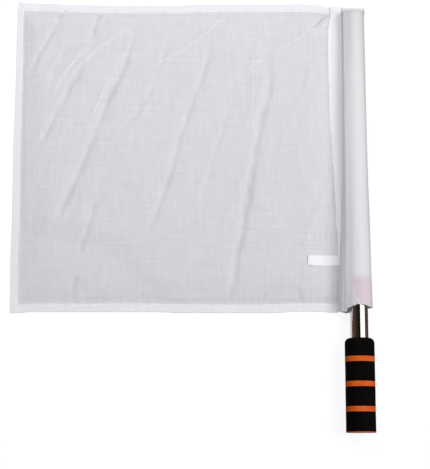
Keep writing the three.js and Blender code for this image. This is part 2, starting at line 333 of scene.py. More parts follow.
card("brown_card_low_left", on_table(-60 * MM, -CARD_RADIUS), "#5F473A")
card("brown_card_left", round_pole(-91, -51), "#5F473A")
card("umber_card_left", round_pole(-51, -22), "#3A2C24")
card("black_card_above", round_pole(-22, 9), "#1D1D18")
card("white_card_right", round_pole(9, 67), "#FFFEF8", 1.9)
card("brown_card_right", round_pole(67, 91), "#5A463C")
card("brown_card_low_right", on_table(25 * MM, CARD_RADIUS), "#54423A")
print("cards stand", CARD_RADIUS, "m from the pole")

# %% [markdown]
# The tube is taken to be cold-drawn stainless steel, polished along its length until it
# mirrors. Steel keeps about six tenths of the light that it reflects. Polishing leaves lines
# along the tube that are far finer than a picture can hold, about 0.1 mm; they are drawn 0.5
# mm wide, and vary the gloss and raise the surface a little. As steel is a metal, its IOR
# stays at the default.

# %% Polished steel
DRAWN_LINE = 0.5 * MM
DRAWN_LENGTH = 60 * MM

polished_steel, tree = new_tree("polished_stainless_steel")
lines = texture(tree, "Noise", {"Scale": 1.0, "Detail": 2.0}, (
    1 / DRAWN_LINE, 1 / DRAWN_LENGTH, 1 / DRAWN_LINE))
gloss = mapped(tree, lines, {"To Min": 0.04, "To Max": 0.12})
finish(tree, {"Base Color": linear("#C9CACC"), "Metallic": 1.0}, {"Roughness": gloss}, lines,
       strength=0.05, distance=0.01 * MM)
print("steel lines in mm:", DRAWN_LINE / MM)

# %% [markdown]
# The two ends of the tube are closed by plugs of black polyethylene, moulded and left as
# they come from the mould, with the fine grain of a spark-eroded cavity. That grain, about
# a quarter of a millimetre, keeps the plastic from shining.

# %% Moulded polyethylene
MOULD_GRAIN = 0.25 * MM

black_polyethylene = textured(
    "moulded_black_polyethylene", "Noise", {"Scale": 1 / MOULD_GRAIN, "Detail": 3.0},
    ("#161617", "#202022"), {"Roughness": 0.5, "IOR": 1.51}, strength=0.3, distance=0.03 * MM)
print("mould grain in mm:", MOULD_GRAIN / MM)

# %% [markdown]
# The grip is EVA foam, sheets of it glued in a stack, bored, and ground round. Grinding cuts
# the closed cells open, so the surface is a field of tiny cups. Real cells are 0.2 to 0.5 mm
# wide and are drawn 0.8 mm wide, so that the picture still shows a tooth. The cups trap
# light: foam has next to no gloss, which the low specular level stands for.

# %% Ground foam, in two colours
FOAM_CELL = 0.8 * MM
FOAM_BLOTCH = 9 * MM
CELL_WEIGHT = 0.45


def ground_foam(name, dark_hex, light_hex, specular):
    """EVA foam, ground round: open cells in the surface and a faint blotch from the sheet."""
    material, tree = new_tree(name)
    cells = texture(tree, "Voronoi", {"Scale": 1 / FOAM_CELL}, out="Distance")
    blotch = texture(tree, "Noise", {"Scale": 1 / FOAM_BLOTCH, "Detail": 4.0})
    worn = reckoned(tree, "MULTIPLY_ADD", {0: cells, 2: blotch}, {1: CELL_WEIGHT})
    tone = mapped(tree, worn, {"From Min": 0.35, "From Max": 0.95})
    finish(tree, {"Roughness": 0.92, "IOR": 1.45, "Specular IOR Level": specular},
           {"Base Color": blended(tree, tone, dark_hex, light_hex)}, cells,
           strength=0.45, distance=0.15 * MM)
    return material


black_eva = ground_foam("ground_black_EVA_foam", "#050504", "#0C0A09", 0.06)
orange_eva = ground_foam("ground_orange_EVA_foam", "#CF4F14", "#E76A28", 0.2)
print("foam cells in mm:", FOAM_CELL / MM)

# %% [markdown]
# The cloth is pink near the mouth of the sleeve, so a band of red vinyl tape is taken to go
# round the tube just inside. Vinyl tape is calendered smooth and shines softly. Stretched
# round a tube it keeps faint ripples along its edges, a few millimetres apart.

# %% Vinyl tape
TAPE_RIPPLE = 4 * MM

red_vinyl = textured(
    "red_vinyl_tape", "Noise", {"Scale": 1 / TAPE_RIPPLE, "Detail": 2.0},
    ("#BE2438", "#D03246"), {"Roughness": 0.35, "IOR": 1.54}, strength=0.3, distance=0.1 * MM)
print("tape ripple in mm:", TAPE_RIPPLE / MM)

# %% [markdown]
# The cloth is a thin plain weave of bleached polyester. Its threads, taken to be a third of a
# millimetre apart, are too fine for the picture, so a noise of 1.1 mm stands for the weave.
# What does show is uneven yarn: a thick thread here and there draws a pale streak along the
# weft or the warp, about two millimetres wide once blurred and a few centimetres long. Two
# stretched noises make those streaks, one each way, and a broad one says where the yarn was
# uneven. The hems are the same cloth three layers thick, so less of the table's shade shows
# through and they look whiter. A single layer takes a tint from whatever it lies on, with
# painted shade and painted highlights besides, which is stored at each point of it.

# %% Plain-weave polyester
WEAVE_GRAIN = 1.1 * MM
GRAIN_WEIGHT = 0.35
STREAK_WIDTH = 2.2 * MM
STREAK_LENGTH = 26 * MM
STREAK_PATCH = 45 * MM
STREAK_NOISE = {"Scale": 1.0, "Detail": 2.0, "Distortion": 0.7}
WEAVE_MIDDLE = 1.17
# Name of the stored tint: what shows through, painted shade and painted highlights
CLOTH_TINT_AND_SHADE = "tint_and_painted_shade"


def plain_weave(name, dark_hex, light_hex, streaks, thin=False):
    """Bleached polyester; streaks is how strongly the uneven yarn shows, about 1."""
    material, tree = new_tree(name)
    weft = texture(tree, "Noise", STREAK_NOISE, (
        1 / STREAK_LENGTH, 1 / STREAK_WIDTH, 1 / STREAK_LENGTH))
    warp = texture(tree, "Noise", STREAK_NOISE, (
        1 / STREAK_WIDTH, 1 / STREAK_LENGTH, 1 / STREAK_WIDTH))
    grain = texture(tree, "Noise", {"Scale": 1 / WEAVE_GRAIN, "Detail": 2.0})
    yarn = reckoned(tree, "ADD", {0: weft, 1: warp})
    woven = reckoned(tree, "MULTIPLY_ADD", {0: grain, 2: yarn}, {1: GRAIN_WEIGHT})
    spread = 0.5 / streaks
    strong = mapped(tree, woven, {
        "From Min": WEAVE_MIDDLE - spread, "From Max": WEAVE_MIDDLE + spread})
    patches = texture(tree, "Noise", {"Scale": 1 / STREAK_PATCH, "Detail": 1.0})
    uneven = mapped(tree, patches, {"From Min": 0.3, "From Max": 0.7, "To Min": 0.45})
    tone = add(tree, "ShaderNodeMix", {"data_type": "FLOAT", 2: 0.5}, {0: uneven, 3: strong})
    colour = blended(tree, tone.outputs[0], dark_hex, light_hex)
    # The stored tint holds what lies behind the cloth, and painted shade and highlights
    if thin:
        stored = add(tree, "ShaderNodeAttribute", {"attribute_name": CLOTH_TINT_AND_SHADE})
        colour = add(tree, "ShaderNodeMix", {
            "data_type": "RGBA", "blend_type": "MULTIPLY", 0: 1.0}, {
            MIX_FIRST: colour, MIX_SECOND: stored.outputs["Color"]}).outputs[MIX_COLOUR]
    finish(tree, {"Roughness": 0.9, "IOR": 1.5, "Specular IOR Level": 0.2, "Sheen Weight": 0.05},
           {"Base Color": colour}, woven, strength=0.25, distance=0.08 * MM)
    return material


panel_weave = plain_weave("plain_weave_polyester", "#D6D5DA", "#E8E7EC", 1.1, True)
hem_weave = plain_weave("plain_weave_polyester_folded", "#ECEBF1", "#F9F8FD", 0.8)
flap_weave = plain_weave("plain_weave_polyester_four_layers", "#F5F4FB", "#FEFDFF", 0.8)
sleeve_weave = plain_weave("plain_weave_polyester_sleeve", "#E5E3E7", "#F0EEF1", 0.7, True)
print("streaks in mm:", STREAK_WIDTH / MM, "by", STREAK_LENGTH / MM)

# %% [markdown]
# The label is a short woven ribbon, satin on its face: long floats of thread lie side by
# side, so it is whiter and smoother than the cloth. The sewing thread is spun polyester, two
# plies twisted. Floats and twist are both too fine for the picture. Soft waves of tone stand
# for them, 3 mm long across the ribbon and about a centimetre long on the thread.

# %% Satin ribbon and sewing thread
SATIN_WAVES = 100
THREAD_WAVES = 50

ribbon_satin = textured(
    "woven_satin_ribbon", "Wave", {
        "bands_direction": "Y", "Scale": SATIN_WAVES, "Distortion": 1.5, "Detail": 2.0},
    ("#F9F8FC", "#FDFCFF"), {
        "Roughness": 0.45, "IOR": 1.5, "Specular IOR Level": 0.3, "Sheen Weight": 0.1},
    strength=0.06, distance=0.05 * MM)
spun_thread = textured(
    "spun_polyester_thread", "Wave", {
        "bands_direction": "DIAGONAL", "Scale": THREAD_WAVES, "Distortion": 0.5},
    ("#DDDCE2", "#F4F3F8"), {"Roughness": 0.7, "IOR": 1.5, "Specular IOR Level": 0.3},
    strength=0.4, distance=0.05 * MM)
print("wave scales of ribbon and thread:", SATIN_WAVES, THREAD_WAVES)

# %% [markdown]
# Every piece below is skinned the same way: rings or rows of points, joined by quads. One
# function joins them, one makes the object, turns its faces outward, smooths it and lets it
# ride on its body. Sharp edges stay sharp where two faces meet at more than a set angle.

# %% Helpers for meshes
SHARP_ANGLE = math.radians(50)
WELD = 0.001 * MM


def skin(rings, around=True, ends=True):
    """Points and faces of a skin over rings of equal length, closed around and at its ends."""
    rings = np.asarray(rings, float)
    count, size = rings.shape[:2]
    faces = []
    for ring in range(count - 1):
        for side in range(size if around else size - 1):
            low, high = ring * size, (ring + 1) * size
            after = (side + 1) % size
            faces.append((low + side, low + after, high + after, high + side))
    if ends:
        faces.append(tuple(range(size)))
        faces.append(tuple((count - 1) * size + side for side in range(size)))
    return rings.reshape(-1, 3), faces


def piece(name, skinned, material, body, replaced=()):
    """A shown piece from points and faces, riding on its body."""
    points, faces = skinned
    mesh = bpy.data.meshes.new(name)
    mesh.from_pydata([tuple(point) for point in points], [], faces)
    form = bmesh.new()
    form.from_mesh(mesh)
    bmesh.ops.remove_doubles(form, verts=form.verts, dist=WELD)
    bmesh.ops.recalc_face_normals(form, faces=form.faces)
    form.to_mesh(mesh)
    form.free()
    mesh.shade_smooth()
    mesh.set_sharp_from_angle(angle=SHARP_ANGLE)
    mesh.materials.append(material)
    made = in_scene(name, mesh)
    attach(made, body)
    if replaced:
        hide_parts(*replaced)
    print(name, len(mesh.polygons), "faces")
    return made


def places_of(vertices):
    """Places of a mesh's vertices, one in a row."""
    return np.array([vertex.co for vertex in vertices])


def run_length(line):
    """How far along a line of points each of them is."""
    return np.concatenate([[0], np.cumsum(np.linalg.norm(np.diff(line, axis=0), axis=1))])


# %% [markdown]
# Tube, plugs, foam and tape are turned pieces: an outline of radius and length, carried
# round the pole. No real edge is a knife edge, so each corner of an outline is first eased
# by a short curve. The lengths come from the solids. A solid's box is measured along the
# table and the pole leans, so its ends are brought back to the pole's direction. The round
# solids have 36 flat sides, and their boxes are as wide as they are across two flats.

# %% Turned pieces
TURNED_SIDES = 96
CORNER_STEPS = 4
MOST_EASED = 0.45
CAD_SIDE_SHARE = math.cos(math.pi / 36)


def eased(outline, ease):
    """The outline with each corner off the axis replaced by a curve that starts ease away."""
    outline = [np.array(corner, float) for corner in outline]
    result = []
    for at, corner in enumerate(outline):
        if corner[0] == 0:
            result.append(corner)
            continue
        sides = (outline[at - 1], outline[(at + 1) % len(outline)])
        starts = [corner + (side - corner) * min(MOST_EASED, ease / np.linalg.norm(side - corner))
                  for side in sides]
        for step in range(CORNER_STEPS + 1):
            t = step / CORNER_STEPS
            result.append((1 - t) ** 2 * starts[0] + 2 * t * (1 - t) * corner + t * t * starts[1])
    return result


def turned(outline, radius_at=lambda radius, length, turn: radius):
    """Skin of an outline carried round the pole, closed unless it starts on the axis."""
    if outline[0][0] > 0:
        outline = outline + outline[:1]
    rings = []
    for side in range(TURNED_SIDES):
        turn = 2 * math.pi * side / TURNED_SIDES
        rings.append([on_pole(radius_at(r, length, turn), length, turn) for r, length in outline])
    rings.append(rings[0])
    return skin(rings, around=True, ends=False)


def pole_span(node, low_radius, high_radius):
    """Lengths from the butt at which a solid on the pole starts and ends."""
    low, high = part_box(node)
    start = (low.y - butt.y + low_radius * up_pole.y) / along_pole.y
    end = (high.y - butt.y - high_radius * up_pole.y) / along_pole.y
    return start, end


def box_radius(node):
    """Outer radius of a round solid, from its width."""
    low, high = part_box(node)
    return (high.x - low.x) / 2 / CAD_SIDE_SHARE


tube_radius = box_radius("pole_tube")
grip_radius = box_radius("grip_black_2")
print("tube and grip in mm:", round(2 * tube_radius / MM, 2), round(2 * grip_radius / MM, 2))

# %% [markdown]
# The tube is a drawn pipe with a wall of 0.8 mm, cut square and deburred. Its ends don't show
# in the photo, so the plugs are a guess at what closes them. They are pushed in flush with
# its outside: a flange as wide as the tube, and a hollow stem inside, with a small dimple in
# the middle of the flange where the mould was fed.

# %% Tube and plugs
TUBE_WALL = 0.8 * MM
DEBURR = 0.25 * MM
PLUG_EASE = 0.4 * MM
PLUG_FLANGE = 1.2 * MM
PLUG_STEM = 12 * MM
PLUG_WALL = 1.6 * MM
PLUG_GAP = 0.3 * MM
PLUG_DIMPLE = 1.6 * MM
DIMPLE_DEPTH = 0.4 * MM

tube_start, tube_end = pole_span("pole_tube", tube_radius, tube_radius)
bore = tube_radius - TUBE_WALL
pipe = eased([(bore, tube_start), (tube_radius, tube_start), (tube_radius, tube_end),
              (bore, tube_end)], DEBURR)
pole_tube = piece("steel_tube", turned(pipe), polished_steel, "pole",
                  ["pole_tube"])


def plug(name, face, inward, node):
    """Moulded plug whose outer face is at one length, with its stem going inward from it."""
    stem = bore - PLUG_GAP
    outline = [(0, DIMPLE_DEPTH), (PLUG_DIMPLE, DIMPLE_DEPTH), (PLUG_DIMPLE + DIMPLE_DEPTH, 0),
               (tube_radius, 0), (tube_radius, PLUG_FLANGE), (stem, PLUG_FLANGE),
               (stem, PLUG_FLANGE + PLUG_STEM), (stem - PLUG_WALL, PLUG_FLANGE + PLUG_STEM),
               (stem - PLUG_WALL, PLUG_FLANGE + PLUG_WALL), (0, PLUG_FLANGE + PLUG_WALL)]
    placed = [(radius, face + inward * depth) for radius, depth in eased(outline, PLUG_EASE)]
    return piece(name, turned(placed), black_polyethylene, "pole", [node])


plug("end_plug", tube_start - PLUG_FLANGE, 1, "tube_end_plug")
plug("top_plug", tube_end + PLUG_FLANGE, -1, "tube_top_plug")

# %% [markdown]
# The foam layers are glued face to face and ground together, so their outsides are flush.
# At each glue line the two edges give way a little under the stone and leave a shallow
# groove, and no layer is quite round. The front layer ends in a round shoulder that runs
# down to the tube, where the foam grips it.

# %% Foam grip
GLUE_EDGE = 0.35 * MM
SHOULDER = 5.5 * MM
SHOULDER_LIP = 0.5 * MM
SHOULDER_STEPS = 10
FOAM_GAP = 0.3 * MM
FOAM_WANDER = 0.14 * MM
FOAM_WAVE = 24 * MM
SIDE_STEPS = 10
BAND_COUNT = 4


def ground_radius(radius, length, turn):
    """Radius of the ground foam, whose outside wanders by about a tenth of a millimetre."""
    if radius < grip_radius - SHOULDER:
        return radius
    place = on_pole(radius, length, turn) / FOAM_WAVE
    return radius + FOAM_WANDER * noise.noise(place)


def foam_layer(name, start, end, foam, front=False):
    """Ring of foam from one length to another; the front one has the round shoulder."""
    foam_bore = tube_radius + FOAM_GAP
    outline = eased([(foam_bore, end), (foam_bore, start), (grip_radius, start),
                     (grip_radius, end)], GLUE_EDGE)
    group = CORNER_STEPS + 1
    corners = [outline[at:at + group] for at in range(0, 4 * group, group)]
    side = [(grip_radius, start + (end - start) * step / SIDE_STEPS)
            for step in range(1, SIDE_STEPS)]
    if front:
        reach = grip_radius - foam_bore - SHOULDER_LIP
        side = [(radius, length) for radius, length in side if length < end - SHOULDER]
        turns = [math.pi / 2 * step / SHOULDER_STEPS for step in range(SHOULDER_STEPS + 1)]
        corners[3] = [(grip_radius - reach * (1 - math.cos(turn)),
                       end - SHOULDER * (1 - math.sin(turn))) for turn in turns]
    placed = corners[0] + corners[1] + corners[2] + side + corners[3]
    shown = name.replace("grip", "foam")
    return piece(shown, turned(placed, ground_radius), foam, "pole", [name])


grip_front = pole_span("grip_black_1", grip_radius, tube_radius + FOAM_GAP + SHOULDER_LIP)[1]
layer_end = grip_front
for band in range(1, BAND_COUNT + 1):
    orange_start, orange_end = pole_span(f"grip_orange_{band}", grip_radius, grip_radius)
    foam_layer(f"grip_black_{band}", orange_end, layer_end, black_eva, band == 1)
    foam_layer(f"grip_orange_{band}", orange_start, orange_end, orange_eva)
    layer_end = orange_start
print("grip length in mm:", round(grip_front / MM, 1))

# %% [markdown]
# One wrap of red vinyl tape and a bit more: the free end lies over the start, and its step
# shows as a line along the tube. Only a shade of red is seen of it through the cloth, until
# the sleeve is drawn up.

# %% Tape band
TAPE_THICKNESS = 0.4 * MM
TAPE_EDGE = 0.1 * MM
TAPE_LAP = math.radians(35)
LAP_START = math.radians(120)

tape_radius = box_radius("tape_band") - TAPE_THICKNESS
tape_start, tape_end = pole_span("tape_band", tape_radius, tape_radius)


def taped_radius(radius, length, turn):
    """Outside of the tape, a second layer thicker over the lap."""
    over = (turn - LAP_START) % (2 * math.pi) < TAPE_LAP
    return radius + (TAPE_THICKNESS / 2 if over and radius > tape_radius else 0)


band = eased([(tape_radius, tape_start), (tape_radius + TAPE_THICKNESS / 2, tape_start),
              (tape_radius + TAPE_THICKNESS / 2, tape_end), (tape_radius, tape_end)], TAPE_EDGE)
piece("red_tape_band", turned(band, taped_radius), red_vinyl, "pole",
      ["tape_band"])
print("tape from the butt in mm:", round(tape_start / MM, 1), "to", round(tape_end / MM, 1))

# %% [markdown]
# The cloth is drawn in shares: u runs from the fly edge, the free one, to the seam beside
# the pole, and v from the foot of the cloth to its head. A place on the cloth is then the
# same place whatever the edges do, and real edges do something: hand-cut cloth wanders by a
# millimetre or two, and the seam sweeps away from the pole near the mouth of the sleeve. The
# pole also holds the seam off the table, most near the mouth. How high and how far out the
# cloth rises to it isn't known: the values are those whose shading came closest to the photo.

# %% Lie of the cloth
MOUTH_ABOVE_FOOT = 6.6 * MM
SEAM_REACH = 11.1 * MM
SEAM_SWEEP = 9 * MM
TAIL_RADIUS = 1.1 * MM
SEAM_GAP = 0.3 * MM
EDGE_PULL = 5
LIFT_CURVE = 2
TAIL_CLEARANCE = 0.2 * MM
UNDER_TAIL = 1.7 * MM
# Share up the cloth, then how high the seam is held there, and how far out the cloth rises to
# it, both in millimetres
SEAM_LIFTS = [(0, 5.8, 15), (0.065, 7.4, 15.5), (0.12, 7.6, 17), (0.25, 7.4, 22),
              (0.37, 6.8, 21), (0.53, 5.0, 18), (0.69, 3.6, 18), (0.82, 3.6, 26), (1, 3.4, 30)]

# Share along the edge, then millimetres outward or, for the fly edge, towards the seam
HEAD_WANDER = [(0, 3.2), (0.02, 2.2), (0.09, 1.8), (0.14, 0.8), (0.19, 0.7), (0.24, -0.3),
               (0.50, -0.3), (0.56, 0.7), (0.83, 0.8), (0.87, 1.3), (0.92, 0.3), (0.965, -2.7),
               (1, -2.2)]
FOOT_WANDER = [(0, -1.0), (0.03, -0.9), (0.06, 0.1), (0.45, 0.1), (0.51, -0.9), (0.80, -1.0),
               (0.87, 0.3), (0.95, 0.3), (1, -1.0)]
FLY_WANDER = [(0, 0.1), (0.17, -0.6), (0.30, 0.0), (0.50, -0.4), (0.70, 0.3), (0.80, 0.6),
              (0.96, 0.6), (1, 2.1)]

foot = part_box("bottom_hem")[0].y
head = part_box("top_hem")[1].y
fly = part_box("top_hem")[0].x
mouth = foot + MOUTH_ABOVE_FOOT
sleeve_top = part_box("pole_sleeve")[1].y


def smooth(share):
    """Eased step from 0 to 1."""
    share = np.clip(share, 0, 1)
    return share * share * (3 - 2 * share)


def read_table(table, share, column=1):
    """Value of a table of places and values, with an eased step from each to the next."""
    places = np.array([row[0] for row in table], float)
    values = np.array([row[column] for row in table], float)
    share = np.clip(share, places[0], places[-1])
    at = np.clip(np.searchsorted(places, share, side="right") - 1, 0, len(places) - 2)
    part = smooth((share - places[at]) / (places[at + 1] - places[at]))
    return values[at] + (values[at + 1] - values[at]) * part


def up_sleeve(y):
    """How far up the sleeve a place is, from 0 at the mouth to 1 at the top."""
    return np.clip((y - mouth) / (sleeve_top - mouth), 0, 1)


def seam_x(y):
    """Outermost line of the seam, where the sleeve's two layers meet."""
    return butt.x - SEAM_REACH - SEAM_SWEEP * (1 - up_sleeve(y)) ** 3


def panel_edge_x(y):
    """Edge of the panel beside the seam."""
    return seam_x(y) - TAIL_RADIUS - SEAM_GAP


def seam_lift(x, y):
    """How far the seam, held up by the pole, lifts the cloth off the table."""
    v = (y - foot) / (head - foot)
    near_seam = np.clip(1 - (seam_x(y) - x) / (read_table(SEAM_LIFTS, v, 2) * MM), 0, 1)
    return read_table(SEAM_LIFTS, v) * MM * near_seam ** LIFT_CURVE


def cloth_xy(u, v):
    """Place on the table of a share across and a share up the cloth."""
    u, v = np.broadcast_arrays(np.asarray(u, float), np.asarray(v, float))
    y = foot + v * (head - foot)
    y = y + read_table(HEAD_WANDER, u) * MM * v ** EDGE_PULL
    y = y + read_table(FOOT_WANDER, u) * MM * (1 - v) ** EDGE_PULL
    left = fly + read_table(FLY_WANDER, v) * MM
    return left + u * (panel_edge_x(y) - left), y


cloth_width = panel_edge_x(head) - fly
cloth_height = head - foot
print("cloth in mm:", round(cloth_width / MM, 1), "by", round(cloth_height / MM, 1))

# %% [markdown]
# Thin cloth never lies quite flat. Long soft valleys run down this one from the upper right,
# and a few sharp creases cross them, as if it had been rolled up and pressed. Each is drawn
# as a line in shares of the cloth, with a depth and a half width in millimetres; a crease
# that stands up has a depth below zero. The cloth between them is taken to float two or three
# millimetres above the table, and comes down to it at the hems. Where it touches, the cloth is
# greyed, partly by the dark table seen through it and partly with painted shade in the
# valleys. A crease that stands up gets a painted highlight, and a groove a painted shade.

# %% Valleys and creases
FLOAT_HEIGHT = 2.4 * MM
FLOAT_RAMPS = {"fly_low": 48 * MM, "fly_high": 14 * MM, "foot": 30 * MM, "head": 14 * MM,
               "seam": 40 * MM}
HEM_DEPTH = {"head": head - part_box("top_hem")[0].y, "foot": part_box("bottom_hem")[1].y - foot,
             "fly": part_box("fly_hem")[1].x - fly}
SWELL = 0.8 * MM
SWELL_WAVE = 75 * MM
RIPPLE = 0.5 * MM
RIPPLE_WAVE = 9 * MM
RIPPLE_LENGTH = 5
RIPPLE_TURN = math.radians(66)
UNEVEN_WAVE = 24 * MM
UNEVEN_DEPTH = 0.6
WOBBLE_WAVE = 13 * MM
WOBBLE = 2.0 * MM
NOISE_SEEDS = {"ripple": 2.5, "swell": 4.9, "wobble": 6.4, "uneven": 8.1}
LINE_ROUNDS = 2
LINE_FADE = 0.2
# How soon a line reaches its full depth, by how the cloth floats and how far it is off the hems
HELD_AFLOAT, HELD_OFF_HEMS = 3, 0.6
# Below this line the cloth lies lower than elsewhere
LOW_CORNER = [(-0.05, 0.31), (0.10, 0.27), (0.28, 0.230), (0.36, 0.186), (0.39, 0.130),
              (0.44, 0.085), (0.52, 0.0)]
LOW_RAMP = 13 * MM
LOW_SHARE = 0.38
HEM_FLOAT = 0.25
HEM_RISE = 7 * MM
TUCK_HEIGHT = 0.25 * MM
TUCK_FADE = 3 * MM
FLY_TAPER = 0.22
# Where the cloth lies on the table it is greyed: partly the dark table seen through it, partly
# painted shade in the valleys
CONTACT_HEIGHT = 1.0 * MM
CONTACT_SEE_THROUGH_AND_SHADE = 0.09
GREY_OFF_HEMS = 1.6
# Painted highlight along a crease that stands up, and painted shade along a groove
CREASE_PAINTED_HIGHLIGHT = 0.11
CREASE_PAINT_WIDTH = 0.9 * MM
GROOVE_PAINTED_SHADE = 0.13

VALLEYS = [
    ([(0.145, 1.020), (0.141, 0.979), (0.110, 0.915), (0.081, 0.856), (0.039, 0.765)], 1.52, 2.9),
    ([(0.264, 1.020), (0.260, 0.987), (0.236, 0.928), (0.228, 0.879)], 1.76, 2.6),
    ([(0.167, 0.869), (0.146, 0.840), (0.101, 0.748)], 0.96, 3),
    ([(0.211, 0.817), (0.193, 0.775), (0.149, 0.686), (0.096, 0.572), (0.069, 0.513)], 2, 3.2),
    ([(0.381, 0.948), (0.372, 0.915), (0.331, 0.797), (0.302, 0.725), (0.278, 0.667),
      (0.240, 0.569), (0.229, 0.520), (0.161, 0.356), (0.108, 0.242)], 2.08, 3.6),
    ([(0.484, 0.902), (0.436, 0.797), (0.416, 0.693), (0.296, 0.536)], 0.96, 3),
    ([(0.610, 0.922), (0.604, 0.895), (0.584, 0.801), (0.540, 0.670), (0.519, 0.618),
      (0.464, 0.389), (0.396, 0.203)], 2.1, 3.6),
    ([(0.662, 0.680), (0.657, 0.654), (0.609, 0.497), (0.572, 0.340)], 0.96, 3.2),
    ([(0.780, 0.863), (0.778, 0.830), (0.770, 0.670), (0.746, 0.601), (0.718, 0.389),
      (0.664, 0.000)], 2.5, 4.1),
    ([(0.895, 0.791), (0.868, 0.693)], 0.8, 2.6),
    ([(0.253, 0.353), (0.247, 0.333), (0.225, 0.245), (0.201, 0.176)], 1.44, 3),
    ([(0.186, 0.010), (0.191, 0.078), (0.205, 0.118)], 1.12, 2.6),
    ([(0.399, 0.000), (0.402, 0.065)], 0.96, 1.7),
    ([(0.771, 0.000), (0.777, 0.072)], 0.88, 1.7),
    ([(0.888, 0.000), (0.884, 0.078)], 0.88, 1.9),
    ([(0.845, 0.964), (0.900, 0.986)], 1.12, 2.6),
    ([(0.946, 0.967), (0.915, 0.908)], 0.6, 2.6),
]
CREASES = [
    ([(0.375, 0.941), (0.275, 0.873), (0.229, 0.832), (0.184, 0.784), (0.148, 0.729)], -0.55, 1.2),
    ([(0.216, 0.856), (0.183, 0.817), (0.144, 0.765), (0.112, 0.696)], -0.60, 1.4),
    ([(0.652, 0.977), (0.598, 0.915), (0.528, 0.856), (0.408, 0.788)], -0.50, 1.2),
    ([(0.283, 0.745), (0.262, 0.693), (0.227, 0.595)], -0.35, 1.2),
    ([(0.765, 0.824), (0.707, 0.778)], -0.50, 1.2),
    ([(0.930, 0.953), (0.882, 0.895), (0.839, 0.863), (0.787, 0.830)], -0.75, 1.3),
    ([(0.992, 1.002), (0.955, 0.966), (0.904, 0.912)], 0.9, 0.8),
    ([(0.992, 0.980), (0.920, 0.905)], -0.45, 1.0),
]
# A crease falls off this many times as slowly on its right
CREASE_SPREAD = 2.4


def rounded_line(shares):
    """Line through places on the cloth with its corners cut off, as points on the table."""
    points = np.array(shares, float)
    for _ in range(LINE_ROUNDS):
        near = points[:-1] * 0.75 + points[1:] * 0.25
        far = points[:-1] * 0.25 + points[1:] * 0.75
        between = np.stack([near, far], axis=1).reshape(-1, 2)
        points = np.vstack([points[:1], between, points[-1:]])
    x, y = cloth_xy(points[:, 0], points[:, 1])
    return np.stack([x, y], axis=1)


def line_distance(x, y, line):
    """Distance of places to a line, how far along it they are, and 1 to its right, else 0."""
    best = np.full(x.shape, np.inf)
    part, right = np.zeros(x.shape), np.zeros(x.shape)
    lengths = np.linalg.norm(np.diff(line, axis=0), axis=1)
    done = run_length(line)
    for at, (start, end) in enumerate(zip(line[:-1], line[1:])):
        step = end - start
        share = ((x - start[0]) * step[0] + (y - start[1]) * step[1]) / (step @ step)
        share = np.clip(share, 0, 1)
        away = np.hypot(x - start[0] - share * step[0], y - start[1] - share * step[1])
        nearer = away < best
        best = np.where(nearer, away, best)
        part = np.where(nearer, (done[at] + share * lengths[at]) / done[-1], part)
        turn = step[0] * (y - start[1]) - step[1] * (x - start[0])
        right = np.where(nearer, turn < 0, right)
    return best, part, right


valley_lines = [(rounded_line(shares), depth, width, 1) for shares, depth, width in VALLEYS]
crease_lines = [(rounded_line(shares), depth, width, CREASE_SPREAD)
                for shares, depth, width in CREASES]
low_line = rounded_line(LOW_CORNER)


def noise_at(*place):
    """Smooth noise between -1 and 1 at places with three coordinates, in waves."""
    place = np.broadcast_arrays(*place)
    values = [noise.noise(Vector(point)) for point in zip(*(side.ravel() for side in place))]
    return np.array(values).reshape(place[0].shape)


def noise_over(x, y, wave, kind):
    """Smooth noise over places on the table; each kind has its own seed."""
    return noise_at(x / wave, y / wave, NOISE_SEEDS[kind])


def floating(x, y):
    """How freely the cloth floats off the hems, and in all, and how far it is tucked in."""
    up = (y - foot) / (head - foot)
    fly_ramp = FLOAT_RAMPS["fly_low"] + (FLOAT_RAMPS["fly_high"] - FLOAT_RAMPS["fly_low"]) * up
    off_fly = x - fly - HEM_DEPTH["fly"] * (1 - FLY_TAPER * up)
    off_foot = y - foot - HEM_DEPTH["foot"]
    off_head = head - HEM_DEPTH["head"] - y
    off_all = np.minimum(np.minimum(off_fly, off_foot), off_head)
    off_hems, tucked = smooth(off_all / HEM_RISE), 1 - smooth(off_all / TUCK_FADE)
    share = smooth(off_fly / fly_ramp) * smooth(off_foot / FLOAT_RAMPS["foot"])
    share = share * smooth(off_head / FLOAT_RAMPS["head"])
    share = share * smooth((panel_edge_x(y) - x) / FLOAT_RAMPS["seam"])
    away, _, below = line_distance(x, y, low_line)
    above = smooth(0.5 + np.where(below > 0, -away, away) / (2 * LOW_RAMP))
    low = LOW_SHARE + (1 - LOW_SHARE) * above
    return off_hems * low, share * low, tucked


def faded(part):
    """1 along a line, and down to 0 at its two ends."""
    return smooth(part / LINE_FADE) * smooth((1 - part) / LINE_FADE)


def relief(x, y):
    """Height of the cloth's underside over the table, but for the lift of the seam."""
    x, y = np.asarray(x, float), np.asarray(y, float)
    off_hems, share, tucked = floating(x, y)
    turned_x = x * math.cos(RIPPLE_TURN) + y * math.sin(RIPPLE_TURN)
    turned_y = y * math.cos(RIPPLE_TURN) - x * math.sin(RIPPLE_TURN)
    ripple = noise_over(turned_x / RIPPLE_LENGTH, turned_y, RIPPLE_WAVE, "ripple")
    swell = 0.5 + 0.5 * noise_over(x, y, SWELL_WAVE, "swell")
    height = (HEM_FLOAT * off_hems + (1 - HEM_FLOAT) * share) * FLOAT_HEIGHT
    height = height + share * SWELL * swell + RIPPLE * ripple * (off_hems + share) / 2
    uneven = 1 + UNEVEN_DEPTH * noise_over(x, y, UNEVEN_WAVE, "uneven")
    held = np.minimum(1, share * HELD_AFLOAT + off_hems * HELD_OFF_HEMS) * uneven
    wobbled_x = x + WOBBLE * noise_over(x, y, WOBBLE_WAVE, "wobble")
    for line, depth, width, spread in valley_lines + crease_lines:
        away, part, right = line_distance(wobbled_x, y, line)
        reach = width * MM * np.where(right > 0, spread, 1)
        height = height - depth * MM * np.exp(-(away / reach) ** 2) * faded(part) * held
    return np.maximum(height, 0) + TUCK_HEIGHT * tucked


